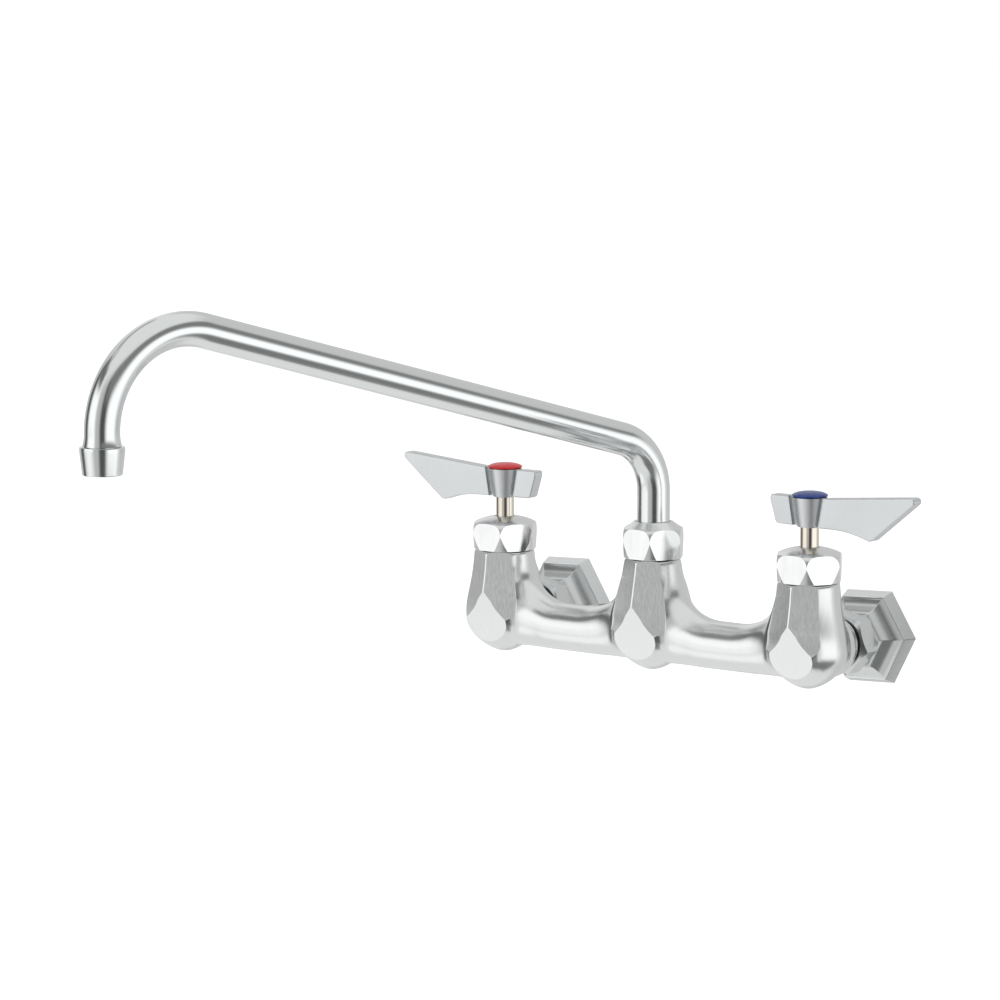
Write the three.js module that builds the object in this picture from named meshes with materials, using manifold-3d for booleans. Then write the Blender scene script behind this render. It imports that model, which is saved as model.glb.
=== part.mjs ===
// Wall-mount mixing faucet: one bridge casting with three bell turrets, two quarter-turn
// cartridge valves with blade handles, a swing spout and two coved hexagonal wall flanges.
// Millimetres, +Z up. The wall is the plane Y = 0 and the room lies towards -Y. The origin
// is on the wall, midway between the two inlet axes.

import * as THREE from "three";
import { mergeVertices } from "three/addons/utils/BufferGeometryUtils.js";
import Module from "manifold-3d";

const wasm = await Module();
wasm.setup();

// ---------------------------------------------------------------- driving dimensions

const GAP = 0.3; // clearance between neighbouring pieces
const INLET_CENTRES = 203.2; // the standard eight-inch spacing of the inlets
const AXIS_TO_WALL = 60; // turret axes in front of the wall

const TURRET_RADIUS = 21.7; // the widest part of each turret
const TURRET_WIDEST_Z = -2.4;
const TURRET_BOTTOM_Z = -20.7;
const VALVE_TURRET = { topRadius: 16.4, topZ: 35.6, waistRadius: 17.2, waistZ: 17 };
const SPOUT_TURRET = { topRadius: 14.9, topZ: 39.6, waistRadius: 17.4, waistZ: 23 };
const SHOULDER_Z = 9; // where the bell's flare turns into the bulge
const FACE_EDGE_ANGLE = 51; // degrees from the front ridge to the edge of each flat face
const RIDGE_FACTOR = 1.035; // ridge and face edges stand proud of the round bell
const FACET_DEPTH = 17.15; // turret axis to the teardrop facet, measured at Z = 0
const FACET_TILT = 10.7; // degrees that the facet leans back below

const BRIDGE_RADIUS = 13;
const BRIDGE_Z = -3.2;
const BRIDGE_SADDLE = { height: 16, length: 24.5 }; // the sweep from the bridge up to a turret
const BRIDGE_FLANK = { height: 1.6, length: 6.6 }; // the same at the bridge's front and back
const BRIDGE_BORE_RADIUS = 5.2;
const BRIDGE_BORE_Z = 2.6;
const BOSS_RADIUS = 14.4; // inlet boss behind each valve turret
const BOSS_LENGTH = 26.8; // from the turret axis
const BOSS_FILLET = 2.5;
const INLET_BORE_RADIUS = 8;
const WATERWAY_RADIUS = 5.2;
const SEAT_Z = 1; // floor of each valve chamber
const SEAT_WEB = 3;
const POCKET_RADIUS = 7;
const POCKET_BOTTOM_Z = -14;
const CHAMBER_RADIUS = 11;

const BONNET_FLATS = 33; // valve bonnets, across flats
const SPOUT_BONNET_FLATS = 31;
const BONNET_HEIGHT = 19;
const SPOUT_BONNET_HEIGHT = 20.4;
const BONNET_FOOT = 0.8; // how far the round foot and brow stand out from the flats
const SPIGOT_LENGTH = 8;
const BARREL_RADIUS = 8; // cartridge barrel inside the bonnet

const STEM_RADIUS = 5;
const HUB_BOTTOM_Z = 65.6;
const HUB_TOP_Z = 80.7;
const HUB_BOTTOM_RADIUS = 6.6;
const HUB_TOP_RADIUS = 9.3;
const BLADE_LENGTH = 69; // stem axis to the blade's tip
const BLADE_THICKNESS = 7.4;
const BLADE_TIP_Z = 85.4;
const BLADE_HEEL = { x: 40.4, z: 61.3 }; // the low corner under the blade
const TAIL_LENGTH = 23.6;
const FLUTE_WIDTH = 2.7; // the groove in the blade round the hub's cone
const FLUTE_DEPTH = 1.9;
const BUTTON_RADIUS = 9.5;
const BUTTON_DOME = 2.8;
const HANDLE_TURN = 1.3; // degrees that each blade leans out from the wall when closed

const SPOUT_REACH = 355.6; // fourteen inches, turret axis to outlet axis
const SPOUT_SWING = 13; // degrees to the left of straight ahead at rest
const SPOUT_RADIUS = 8.9;
const SPOUT_WALL = 1.4;
const SPOUT_SLOPE = 15.1; // degrees that the arm rises towards the outlet
const SPOUT_CORNER_Z = 100.4; // where the riser's axis meets the arm's
const NEAR_BEND_RADIUS = 31;
const FAR_BEND_RADIUS = 48.6;
const OUTLET_DROP = 6.3; // straight tube between the far bend and the outlet ring
const OUTLET_HEIGHT = 14;
const OUTLET_TOP_RADIUS = 10.8;
const OUTLET_BOTTOM_RADIUS = 9.6;

const FLANGE_FLATS = 49.5;
const FLANGE_RIM = 7.4; // thickness of the flange's rim
const FLANGE_DEPTH = 19; // wall to the flange's front
const FLANGE_NECK_FLATS = 30.8;
const FLANGE_STEP = 0.9; // each side of the rim's flat front
const FLANGE_RIM_TAPER = 2.4; // each side
const FLANGE_BREAK = 0.6; // the broken edges of the flange
const COVE_START = 35; // degrees from the wall at which the cove leaves the rim
const PIPE_RADIUS = 10.6; // bore that takes the half-inch supply pipe
const PIPE_DEPTH = 14;
const NUT_FLATS = 30;
const NUT_TURN = -13; // degrees that the tightened nuts stand off the level
const WASHER_THICKNESS = 1.2;

// ---------------------------------------------------------------- derived places

const HALF_CENTRES = INLET_CENTRES / 2;
const BOSS_FACE_Y = BOSS_LENGTH - AXIS_TO_WALL;
const WASHER_FRONT_Y = BOSS_FACE_Y + GAP;
const NUT_FRONT_Y = WASHER_FRONT_Y + WASHER_THICKNESS + GAP;
const NUT_BACK_Y = -FLANGE_DEPTH - 2 * GAP;
const SHANK_RADIUS = INLET_BORE_RADIUS - GAP;
const BRIDGE_ROOT = 0.8 * TURRET_RADIUS; // where the sweeps run into the bell
const SLOPE = THREE.MathUtils.degToRad(SPOUT_SLOPE);
const FAR_CORNER_Z = SPOUT_CORNER_Z + SPOUT_REACH * Math.tan(SLOPE);
const FAR_BEND_RUN = FAR_BEND_RADIUS * Math.tan((Math.PI / 2 + SLOPE) / 2);
const OUTLET_TOP_Z = FAR_CORNER_Z - FAR_BEND_RUN - OUTLET_DROP;

const ROUND = 20; // sides of a visible turned piece
const SMALL_ROUND = 14; // sides of a hidden one
const BRIDGE_SIDES = 16;
const TUBE_SEGMENTS = 8; // steps of each half circle of the spout's section
const NEAR_BEND_STEPS = 8;
const FAR_BEND_STEPS = 12;

// ---------------------------------------------------------------- materials

function metal(colour, roughness) {
  return new THREE.MeshStandardMaterial({ color: colour, roughness, metalness: 1 });
}

function plain(colour, roughness) {
  return new THREE.MeshStandardMaterial({ color: colour, roughness, metalness: 0 });
}

const satin = metal(0xc9cccd, 0.35);
const bright = metal(0xdddddb, 0.15);
const nickel = metal(0xcfc8b8, 0.12);
const brass = metal(0xc9a45c, 0.4);
const red = plain(0xc8232b, 0.2);
const blue = plain(0x12387f, 0.2);
const rubber = plain(0x1b1b1c, 0.8);
const nylon = plain(0xe8e6de, 0.5);
const ceramic = plain(0xf2efe9, 0.3);

// ---------------------------------------------------------------- solids and joins

function solidFrom(geometry) {
  const bare = geometry.index ? geometry.toNonIndexed() : geometry.clone();
  bare.deleteAttribute("normal");
  bare.deleteAttribute("uv");
  const merged = mergeVertices(bare, 1e-4);
  const vertProperties = Float32Array.from(merged.attributes.position.array);
  const triVerts = Uint32Array.from(merged.index.array);
  return new wasm.Manifold(new wasm.Mesh({ numProp: 3, vertProperties, triVerts }));
}

function geometryFrom(solid) {
  const mesh = solid.getMesh();
  const geometry = new THREE.BufferGeometry();
  geometry.setAttribute("position", new THREE.BufferAttribute(mesh.vertProperties, 3));
  geometry.setIndex(new THREE.BufferAttribute(mesh.triVerts, 1));
  geometry.computeVertexNormals();
  return geometry;
}

function joined(...geometries) {
  return geometryFrom(geometries.map(solidFrom).reduce((whole, next) => whole.add(next)));
}

function cut(geometry, ...tools) {
  const start = solidFrom(geometry);
  return geometryFrom(tools.map(solidFrom).reduce((whole, tool) => whole.subtract(tool), start));
}

function common(first, second) {
  return geometryFrom(solidFrom(first).intersect(solidFrom(second)));
}

// A turned solid about +Z from [radius, z] pairs, listed upwards along the outside.
function turned(pairs, sides = ROUND) {
  const outline = pairs.map(([radius, z]) => new THREE.Vector2(radius, z));
  const geometry = new THREE.LatheGeometry(outline, sides);
  geometry.rotateX(Math.PI / 2);
  return geometry;
}

// A closed ring about +Z: an outline that doesn't touch the axis.
function turnedRing(pairs, sides = ROUND) {
  return turned([...pairs, pairs[0]], sides);
}

function rod(radius, bottom, top, sides = SMALL_ROUND) {
  return turned([[0, bottom], [radius, bottom], [radius, top], [0, top]], sides);
}

function tube(inner, outer, bottom, top, sides = SMALL_ROUND) {
  return turnedRing([[inner, bottom], [outer, bottom], [outer, top], [inner, top]], sides);
}

// A hexagonal prism about +Z with two flats facing +Y and -Y.
function hexPrism(flats, bottom, top) {
  const corner = flats / 2 / Math.cos(Math.PI / 6);
  const geometry = new THREE.CylinderGeometry(corner, corner, top - bottom, 6);
  geometry.rotateX(Math.PI / 2);
  geometry.rotateZ(Math.PI / 2);
  geometry.translate(0, 0, (bottom + top) / 2);
  return geometry;
}

// A solid skinned over rings that all have the same number of points, closed by flat ends.
function skinned(rings) {
  const count = rings[0].length;
  const positions = rings.flat().flatMap((point) => [point.x, point.y, point.z]);
  const triangles = [];
  for (let ring = 0; ring + 1 < rings.length; ring += 1) {
    for (let side = 0; side < count; side += 1) {
      const a = ring * count + side;
      const b = ring * count + ((side + 1) % count);
      triangles.push(a, b, b + count, a, b + count, a + count);
    }
  }
  const last = (rings.length - 1) * count;
  for (let side = 1; side + 1 < count; side += 1) {
    triangles.push(0, side + 1, side, last, last + side, last + side + 1);
  }
  const geometry = new THREE.BufferGeometry();
  geometry.setAttribute("position", new THREE.Float32BufferAttribute(positions, 3));
  geometry.setIndex(triangles);
  return geometry;
}

// ---------------------------------------------------------------- body casting

// The bell outline of a turret, from its foot to its top, as radius and height.
function turretOutline(shape) {
  const footTip = 0.5;
  const footSpread = TURRET_RADIUS * 0.42; // how broad and how deep the foot is rounded
  const footRise = 11.5;
  const foot = new THREE.CubicBezierCurve(
    new THREE.Vector2(footTip, TURRET_BOTTOM_Z),
    new THREE.Vector2(footSpread, TURRET_BOTTOM_Z),
    new THREE.Vector2(TURRET_RADIUS, TURRET_BOTTOM_Z + footRise),
    new THREE.Vector2(TURRET_RADIUS, TURRET_WIDEST_Z),
  );
  const bell = new THREE.CubicBezierCurve(
    new THREE.Vector2(TURRET_RADIUS, TURRET_WIDEST_Z),
    new THREE.Vector2(TURRET_RADIUS, SHOULDER_Z),
    new THREE.Vector2(shape.waistRadius, shape.waistZ),
    new THREE.Vector2(shape.topRadius, shape.topZ),
  );
  return [...foot.getPoints(4), ...bell.getPoints(6).slice(1)];
}

// How far a turret's section stands out at an angle from the front ridge: two straight faces
// meet at the ridge, and behind their outer edges the section is a circle.
function faceFactor(angle) {
  const edge = THREE.MathUtils.degToRad(FACE_EDGE_ANGLE);
  const away = Math.abs(angle);
  if (away <= edge) {
    return RIDGE_FACTOR * Math.cos(edge / 2) / Math.cos(away - edge / 2);
  }
  const fade = THREE.MathUtils.smoothstep(away, edge, 2 * edge);
  return THREE.MathUtils.lerp(RIDGE_FACTOR, 1, fade);
}

// The angles of a turret's columns: close at the ridge and the edges, even round the back.
function turretAngles() {
  const edge = THREE.MathUtils.degToRad(FACE_EDGE_ANGLE);
  const backSteps = 12;
  const backStep = (2 * Math.PI - 2 * edge) / backSteps;
  const back = Array.from({ length: backSteps + 1 }, (_, step) => edge + step * backStep);
  return [-edge / 2, 0, edge / 2, ...back];
}

function turretSolid(shape) {
  const fadeFromZ = -8; // the faces run out between this height and the inlets' level
  const rings = turretOutline(shape).map((point) => {
    const flatness = THREE.MathUtils.smoothstep(point.y, fadeFromZ, 0);
    return turretAngles().map((angle) => {
      const turn = angle > Math.PI ? angle - 2 * Math.PI : angle;
      const radius = point.x * THREE.MathUtils.lerp(1, faceFactor(turn), flatness);
      return new THREE.Vector3(radius * Math.sin(turn), -radius * Math.cos(turn), point.y);
    });
  });
  return skinned(rings);
}

// The block outside the teardrop facet: what is cut off the front of a turret.
function facetTool() {
  const size = 3 * TURRET_RADIUS;
  const tool = new THREE.BoxGeometry(size, size, size);
  tool.translate(0, -size / 2, 0);
  tool.rotateX(THREE.MathUtils.degToRad(FACET_TILT));
  tool.translate(0, -FACET_DEPTH, 0);
  return tool;
}

// How far a sweep has risen at a distance from the turret's axis. It ends inside the bell.
function sweepRise(sweep, distance) {
  const into = (BRIDGE_ROOT + sweep.length - distance) / sweep.length;
  return into > 0 && distance >= BRIDGE_ROOT ? sweep.height * into ** 2 : 0;
}

// One ring of the bridge at a distance from the nearest turret axis. Near the turret it grows
// a narrow saddle on top and a shallow fillet at the front and back; its underside stays.
function bridgeRing(x, distance) {
  const saddle = sweepRise(BRIDGE_SADDLE, distance);
  const flank = sweepRise(BRIDGE_FLANK, distance);
  return Array.from({ length: BRIDGE_SIDES }, (_, side) => {
    const angle = (side / BRIDGE_SIDES) * 2 * Math.PI;
    const upward = ((1 + Math.cos(angle)) / 2) ** 8;
    const sideways = Math.abs(Math.sin(angle)) * (1 - upward);
    const radius = BRIDGE_RADIUS + saddle * upward + flank * sideways;
    return new THREE.Vector3(x, radius * Math.sin(angle), BRIDGE_Z + radius * Math.cos(angle));
  });
}

// The bridge between the spout turret and one valve turret.
function bridgeSolid(side) {
  const start = TURRET_RADIUS / 2;
  const steps = 4;
  const near = Array.from({ length: steps + 1 }, (_, step) => {
    return BRIDGE_ROOT + (step / steps) * BRIDGE_SADDLE.length;
  });
  const far = near.map((distance) => HALF_CENTRES - distance).reverse();
  const stations = [start, ...near, ...far, HALF_CENTRES - start];
  const rings = stations.map((station) => {
    return bridgeRing(side * station, Math.min(station, HALF_CENTRES - station));
  });
  return skinned(side > 0 ? rings.reverse() : rings);
}

// The boss behind a valve turret, with a fillet where it leaves the bell.
function bossSolid() {
  const rootRadius = BOSS_RADIUS + BOSS_FILLET;
  const fillet = new THREE.EllipseCurve(
    TURRET_RADIUS, rootRadius, 3 * BOSS_FILLET, BOSS_FILLET, -Math.PI / 2, -Math.PI, true,
  );
  const curve = fillet.getPoints(3).map((point) => [point.y, point.x]);
  const chamfer = 0.6;
  const outline = [
    [0, BOSS_LENGTH],
    [BOSS_RADIUS - chamfer, BOSS_LENGTH],
    [BOSS_RADIUS, BOSS_LENGTH - chamfer],
    ...curve,
    [rootRadius, TURRET_RADIUS / 2],
    [0, TURRET_RADIUS / 2],
  ].reverse();
  return turned(outline, ROUND).rotateX(-Math.PI / 2);
}

function valveCavities() {
  const chamber = rod(CHAMBER_RADIUS, SEAT_Z, VALVE_TURRET.topZ + 1);
  const seatHole = rod(POCKET_RADIUS - 2, SEAT_Z - SEAT_WEB - 1, SEAT_Z + 1);
  const pocket = rod(POCKET_RADIUS, POCKET_BOTTOM_Z, SEAT_Z - SEAT_WEB);
  const boreDepth = BOSS_LENGTH - CHAMBER_RADIUS - 4;
  const inlet = rod(INLET_BORE_RADIUS, BOSS_LENGTH - boreDepth, BOSS_LENGTH + 1);
  inlet.rotateX(-Math.PI / 2);
  const waterway = rod(WATERWAY_RADIUS, 0, BOSS_LENGTH - boreDepth + 2);
  waterway.rotateX(-Math.PI / 2);
  waterway.translate(0, 0, SEAT_Z - SEAT_WEB - WATERWAY_RADIUS - GAP);
  return [chamber, seatHole, pocket, inlet, waterway];
}

function bodyGeometry() {
  const solids = [];
  const tools = [];
  for (const side of [-1, 1]) {
    const place = [side * HALF_CENTRES, 0, 0];
    solids.push(turretSolid(VALVE_TURRET).translate(...place));
    solids.push(bossSolid().translate(...place));
    solids.push(bridgeSolid(side));
    tools.push(facetTool().translate(...place));
    tools.push(...valveCavities().map((cavity) => cavity.translate(...place)));
  }
  solids.push(turretSolid(SPOUT_TURRET));
  tools.push(facetTool());
  tools.push(rod(CHAMBER_RADIUS, BRIDGE_BORE_Z - BRIDGE_BORE_RADIUS, SPOUT_TURRET.topZ + 1));
  const boreHalf = HALF_CENTRES - CHAMBER_RADIUS + 1;
  const bore = rod(BRIDGE_BORE_RADIUS, -boreHalf, boreHalf);
  tools.push(bore.rotateY(Math.PI / 2).translate(0, 0, BRIDGE_BORE_Z));
  return cut(joined(...solids), ...tools);
}

// ---------------------------------------------------------------- bonnets

// A hexagonal bonnet: a prism cut by a turned outline that is widest at mid height, where
// neighbouring flats touch at their corners, with a domed top and a spigot below.
function bonnetGeometry(flats, height, boreRadius, baseZ, spigotBore) {
  const corner = flats / 2 / Math.cos(Math.PI / 6);
  const round = flats / 2 + BONNET_FOOT;
  const beltZ = height * 0.47; // where neighbouring flats touch
  const browZ = height * 0.81; // where the dome starts
  const brow = new THREE.QuadraticBezierCurve(
    new THREE.Vector2(corner, beltZ),
    new THREE.Vector2(corner, (beltZ + browZ) / 2 + 1),
    new THREE.Vector2(round, browZ),
  );
  const dome = new THREE.QuadraticBezierCurve(
    new THREE.Vector2(round - 1.2, browZ + 0.6),
    new THREE.Vector2(flats / 2 - 3.6, height - 1.2),
    new THREE.Vector2(boreRadius + 1.4, height),
  );
  const outline = turned([
    [0, 0],
    [round - 0.3, 0],
    [round, 0.3],
    ...[...brow.getPoints(3), ...dome.getPoints(2)].map((point) => [point.x, point.y]),
    [0, height],
  ]);
  const head = common(outline, hexPrism(flats, -1, height + 1));
  const spigot = rod(CHAMBER_RADIUS - GAP, -SPIGOT_LENGTH, 1, SMALL_ROUND);
  const bore = rod(boreRadius, -SPIGOT_LENGTH - 1, height + 1, SMALL_ROUND);
  const counterbore = rod(spigotBore, -SPIGOT_LENGTH - 1, height * 0.7, SMALL_ROUND);
  return cut(joined(head, spigot), bore, counterbore).translate(0, 0, baseZ);
}

const VALVE_BONNET_Z = VALVE_TURRET.topZ + GAP;
const SPOUT_BONNET_Z = SPOUT_TURRET.topZ + GAP;

function valveBonnetGeometry() {
  return bonnetGeometry(
    BONNET_FLATS, BONNET_HEIGHT, STEM_RADIUS + GAP, VALVE_BONNET_Z, BARREL_RADIUS + GAP,
  );
}

function spoutBonnetGeometry() {
  const bore = SPOUT_RADIUS + GAP;
  return bonnetGeometry(SPOUT_BONNET_FLATS, SPOUT_BONNET_HEIGHT, bore, SPOUT_BONNET_Z, bore);
}

// ---------------------------------------------------------------- valve cartridge

const SEAL_TOP_Z = SEAT_Z + GAP + 3;
const DISC_THICKNESS = 2.6;
const DISC_RADIUS = 7.4;
const FIXED_DISC_Z = SEAL_TOP_Z + GAP;
const MOVING_DISC_Z = FIXED_DISC_Z + DISC_THICKNESS + GAP;
const DRIVE_Z = MOVING_DISC_Z + DISC_THICKNESS + GAP;
const DRIVE_HEIGHT = 3;
const CARTRIDGE_SHELL_RADIUS = CHAMBER_RADIUS - GAP;
const CARTRIDGE_FLANGE_TOP_Z = VALVE_BONNET_Z - SPIGOT_LENGTH - GAP;
const CARTRIDGE_TOP_Z = VALVE_BONNET_Z + BONNET_HEIGHT * 0.7 - GAP;
const RING_GROOVE = 1.6; // depth and height of an o-ring groove
const SHELL_GROOVE_Z = DRIVE_Z + DRIVE_HEIGHT + 3;
const STEM_GROOVE_Z = CARTRIDGE_FLANGE_TOP_Z + 4;
const STEM_TOP_Z = HUB_BOTTOM_Z + 8.6;

function cartridgeGeometry() {
  const shellInner = DISC_RADIUS + GAP;
  const stemBore = STEM_RADIUS + GAP;
  const grooveFloor = CARTRIDGE_SHELL_RADIUS - RING_GROOVE;
  const shell = turnedRing([
    [shellInner, FIXED_DISC_Z],
    [CARTRIDGE_SHELL_RADIUS, FIXED_DISC_Z],
    [CARTRIDGE_SHELL_RADIUS, SHELL_GROOVE_Z],
    [grooveFloor, SHELL_GROOVE_Z],
    [grooveFloor, SHELL_GROOVE_Z + RING_GROOVE],
    [CARTRIDGE_SHELL_RADIUS, SHELL_GROOVE_Z + RING_GROOVE],
    [CARTRIDGE_SHELL_RADIUS, CARTRIDGE_FLANGE_TOP_Z],
    [BARREL_RADIUS, CARTRIDGE_FLANGE_TOP_Z],
    [BARREL_RADIUS, CARTRIDGE_TOP_Z],
    [stemBore, CARTRIDGE_TOP_Z],
    [stemBore, DRIVE_Z + DRIVE_HEIGHT + GAP],
    [shellInner, DRIVE_Z + DRIVE_HEIGHT + GAP],
  ], SMALL_ROUND);
  const windowHeight = DISC_THICKNESS * 1.6;
  const across = new THREE.BoxGeometry(3 * CARTRIDGE_SHELL_RADIUS, 6, windowHeight);
  across.translate(0, 0, MOVING_DISC_Z + windowHeight / 2);
  return cut(shell, across);
}

function cartridgeRingGeometry() {
  return grooveRing(CARTRIDGE_SHELL_RADIUS, SHELL_GROOVE_Z);
}

function seatSealGeometry() {
  return tube(POCKET_RADIUS - 1, DISC_RADIUS + 2, SEAT_Z + GAP, SEAL_TOP_Z);
}

// A ceramic disc with one opening on each side of its middle.
function discGeometry(bottom) {
  const openingRadius = 1.9;
  const openingOffset = 4;
  const disc = rod(DISC_RADIUS, bottom, bottom + DISC_THICKNESS);
  const openings = [-1, 1].map((side) => {
    const opening = rod(openingRadius, bottom - 1, bottom + DISC_THICKNESS + 1, 8);
    return opening.translate(0, side * openingOffset, 0);
  });
  return cut(disc, ...openings);
}

function stemGeometry() {
  const floor = STEM_RADIUS - RING_GROOVE;
  const stem = turned([
    [0, DRIVE_Z],
    [DISC_RADIUS, DRIVE_Z],
    [DISC_RADIUS, DRIVE_Z + DRIVE_HEIGHT],
    [STEM_RADIUS, DRIVE_Z + DRIVE_HEIGHT],
    [STEM_RADIUS, STEM_GROOVE_Z],
    [floor, STEM_GROOVE_Z],
    [floor, STEM_GROOVE_Z + RING_GROOVE],
    [STEM_RADIUS, STEM_GROOVE_Z + RING_GROOVE],
    [STEM_RADIUS, STEM_TOP_Z - 0.6],
    [STEM_RADIUS - 0.6, STEM_TOP_Z],
    [0, STEM_TOP_Z],
  ], SMALL_ROUND);
  return cut(stem, rod(SCREW_RADIUS + GAP, STEM_TOP_Z - SCREW_DEPTH, STEM_TOP_Z + 1));
}

// ---------------------------------------------------------------- handles

const SCREW_RADIUS = 2.3;
const SCREW_DEPTH = 10;
const SCREW_HEAD_RADIUS = 4.2;
const HUB_WEB = 1.8;
const SCREW_HEAD_Z = STEM_TOP_Z + GAP + HUB_WEB + GAP;
const BUTTON_SPIGOT_RADIUS = 5.4;
const BUTTON_Z = HUB_TOP_Z + GAP;

// The blade and tail seen from the front, with the stem's axis at x = 0.
function bladeOutline() {
  const tipRadius = 2.2;
  const tipCentre = { x: BLADE_LENGTH - tipRadius, z: BLADE_TIP_Z - tipRadius };
  const slant = Math.atan2(tipCentre.z - BLADE_HEEL.z, tipCentre.x - BLADE_HEEL.x);
  const tail = -TAIL_LENGTH;
  const tailRadius = 1.5;
  const footX = tail + 4; // where the tail's end reaches its underside
  const footZ = HUB_BOTTOM_Z + 0.6;
  const heelRadius = 2;
  const outline = new THREE.Shape();
  outline.moveTo(tail + tailRadius, HUB_TOP_Z);
  outline.lineTo(HUB_TOP_RADIUS, HUB_TOP_Z);
  outline.absarc(tipCentre.x, tipCentre.z, tipRadius, Math.PI / 2, slant - Math.PI / 2, true);
  outline.lineTo(BLADE_HEEL.x + heelRadius, BLADE_HEEL.z + heelRadius / 2);
  outline.quadraticCurveTo(
    BLADE_HEEL.x, BLADE_HEEL.z - heelRadius / 4,
    BLADE_HEEL.x - heelRadius, BLADE_HEEL.z + heelRadius / 4,
  );
  outline.bezierCurveTo(
    BLADE_HEEL.x * 0.72, HUB_BOTTOM_Z - 1.2, // the blade's hollow underside
    BLADE_HEEL.x * 0.62, HUB_BOTTOM_Z + 0.4,
    HUB_BOTTOM_RADIUS, HUB_BOTTOM_Z,
  );
  outline.lineTo(footX + heelRadius, footZ);
  outline.quadraticCurveTo(footX, footZ, footX - tailRadius / 3, footZ + heelRadius);
  outline.lineTo(tail + tailRadius / 4, HUB_TOP_Z - 2 * tailRadius);
  outline.quadraticCurveTo(tail, HUB_TOP_Z, tail + tailRadius, HUB_TOP_Z);
  return outline;
}

// A cone about the stem's axis, wider than the hub by a margin.
function hubCone(margin, bottom, top) {
  const slope = (HUB_TOP_RADIUS - HUB_BOTTOM_RADIUS) / (HUB_TOP_Z - HUB_BOTTOM_Z);
  const radiusAt = (z) => HUB_BOTTOM_RADIUS + margin + (z - HUB_BOTTOM_Z) * slope;
  return turned([[0, bottom], [radiusAt(bottom), bottom], [radiusAt(top), top], [0, top]]);
}

// The blade, with a narrow flute each side where the hub's cone comes out of it.
function bladeGeometry() {
  const edge = 0.6;
  const depth = BLADE_THICKNESS - 2 * edge;
  const plate = new THREE.ExtrudeGeometry(bladeOutline(), {
    depth, curveSegments: 5, bevelThickness: edge, bevelSize: edge, bevelOffset: -edge,
    bevelSegments: 1,
  });
  plate.translate(0, 0, -depth / 2);
  plate.rotateX(Math.PI / 2);
  const wide = 4 * HUB_TOP_RADIUS;
  const core = new THREE.BoxGeometry(wide, BLADE_THICKNESS - 2 * FLUTE_DEPTH, wide);
  core.translate(0, 0, HUB_TOP_Z);
  const flute = cut(hubCone(FLUTE_WIDTH, HUB_BOTTOM_Z - 2, BLADE_TIP_Z), core);
  return cut(plate, flute);
}

// The handle as the cold one stands: its blade points to +X.
function handleGeometry() {
  const hub = hubCone(0, HUB_BOTTOM_Z, HUB_TOP_Z);
  const socket = rod(STEM_RADIUS + GAP, HUB_BOTTOM_Z - 1, STEM_TOP_Z + GAP);
  const screwHole = rod(SCREW_RADIUS + GAP, STEM_TOP_Z - 1, HUB_TOP_Z + 1);
  const recess = rod(BUTTON_SPIGOT_RADIUS + GAP, SCREW_HEAD_Z - GAP, BLADE_TIP_Z + 1);
  return cut(joined(bladeGeometry(), hub), socket, screwHole, recess);
}

function screwGeometry() {
  const bottom = STEM_TOP_Z - SCREW_DEPTH + GAP;
  const headTop = SCREW_HEAD_Z + 1.8;
  const socketFlats = 2.6;
  const socketDepth = 1.2;
  const screw = turned([
    [0, bottom],
    [SCREW_RADIUS, bottom],
    [SCREW_RADIUS, SCREW_HEAD_Z],
    [SCREW_HEAD_RADIUS, SCREW_HEAD_Z],
    [SCREW_HEAD_RADIUS, headTop - 0.5],
    [SCREW_HEAD_RADIUS - 0.5, headTop],
    [0, headTop],
  ], SMALL_ROUND);
  return cut(screw, hexPrism(socketFlats, headTop - socketDepth, headTop + 1));
}

function buttonGeometry() {
  const rimHeight = 1;
  const rise = BUTTON_DOME - rimHeight;
  const domeRadius = (BUTTON_RADIUS ** 2 + rise ** 2) / (2 * rise);
  const steps = 2;
  const reach = Math.asin(BUTTON_RADIUS / domeRadius);
  const dome = Array.from({ length: steps }, (_, step) => {
    const angle = reach * (1 - step / steps);
    const drop = domeRadius * (1 - Math.cos(angle));
    return [domeRadius * Math.sin(angle), BUTTON_Z + BUTTON_DOME - drop];
  });
  const spigotBottom = HUB_TOP_Z - 0.9;
  return turned([
    [0, spigotBottom],
    [BUTTON_SPIGOT_RADIUS, spigotBottom],
    [BUTTON_SPIGOT_RADIUS, BUTTON_Z],
    [BUTTON_RADIUS - 0.3, BUTTON_Z],
    [BUTTON_RADIUS, BUTTON_Z + 0.3],
    ...dome,
    [0, BUTTON_Z + BUTTON_DOME],
  ]);
}

// ---------------------------------------------------------------- spout

const COLLAR_BOTTOM_Z = BRIDGE_BORE_Z + BRIDGE_BORE_RADIUS + 1;
const FRICTION_WASHER_THICKNESS = 1.4;
const COLLAR_TOP_Z = SPOUT_BONNET_Z - SPIGOT_LENGTH - GAP - FRICTION_WASHER_THICKNESS - GAP;
const COLLAR_RADIUS = CHAMBER_RADIUS - GAP;
const RISER_BOTTOM_Z = COLLAR_TOP_Z - 9;
const TUBE_BORE_RADIUS = SPOUT_RADIUS - SPOUT_WALL;
const OUTLET_BOTTOM_Z = OUTLET_TOP_Z - OUTLET_HEIGHT;
const MOUTH_RADIUS = 9.55; // the tube's flared end, just above the outlet ring
const MOUTH_SPIGOT_RADIUS = 8.5;
const MOUTH_SPIGOT_LENGTH = 7;
const INSERT_THICKNESS = 3.6;
const LIP_THICKNESS = 0.8;

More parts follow.
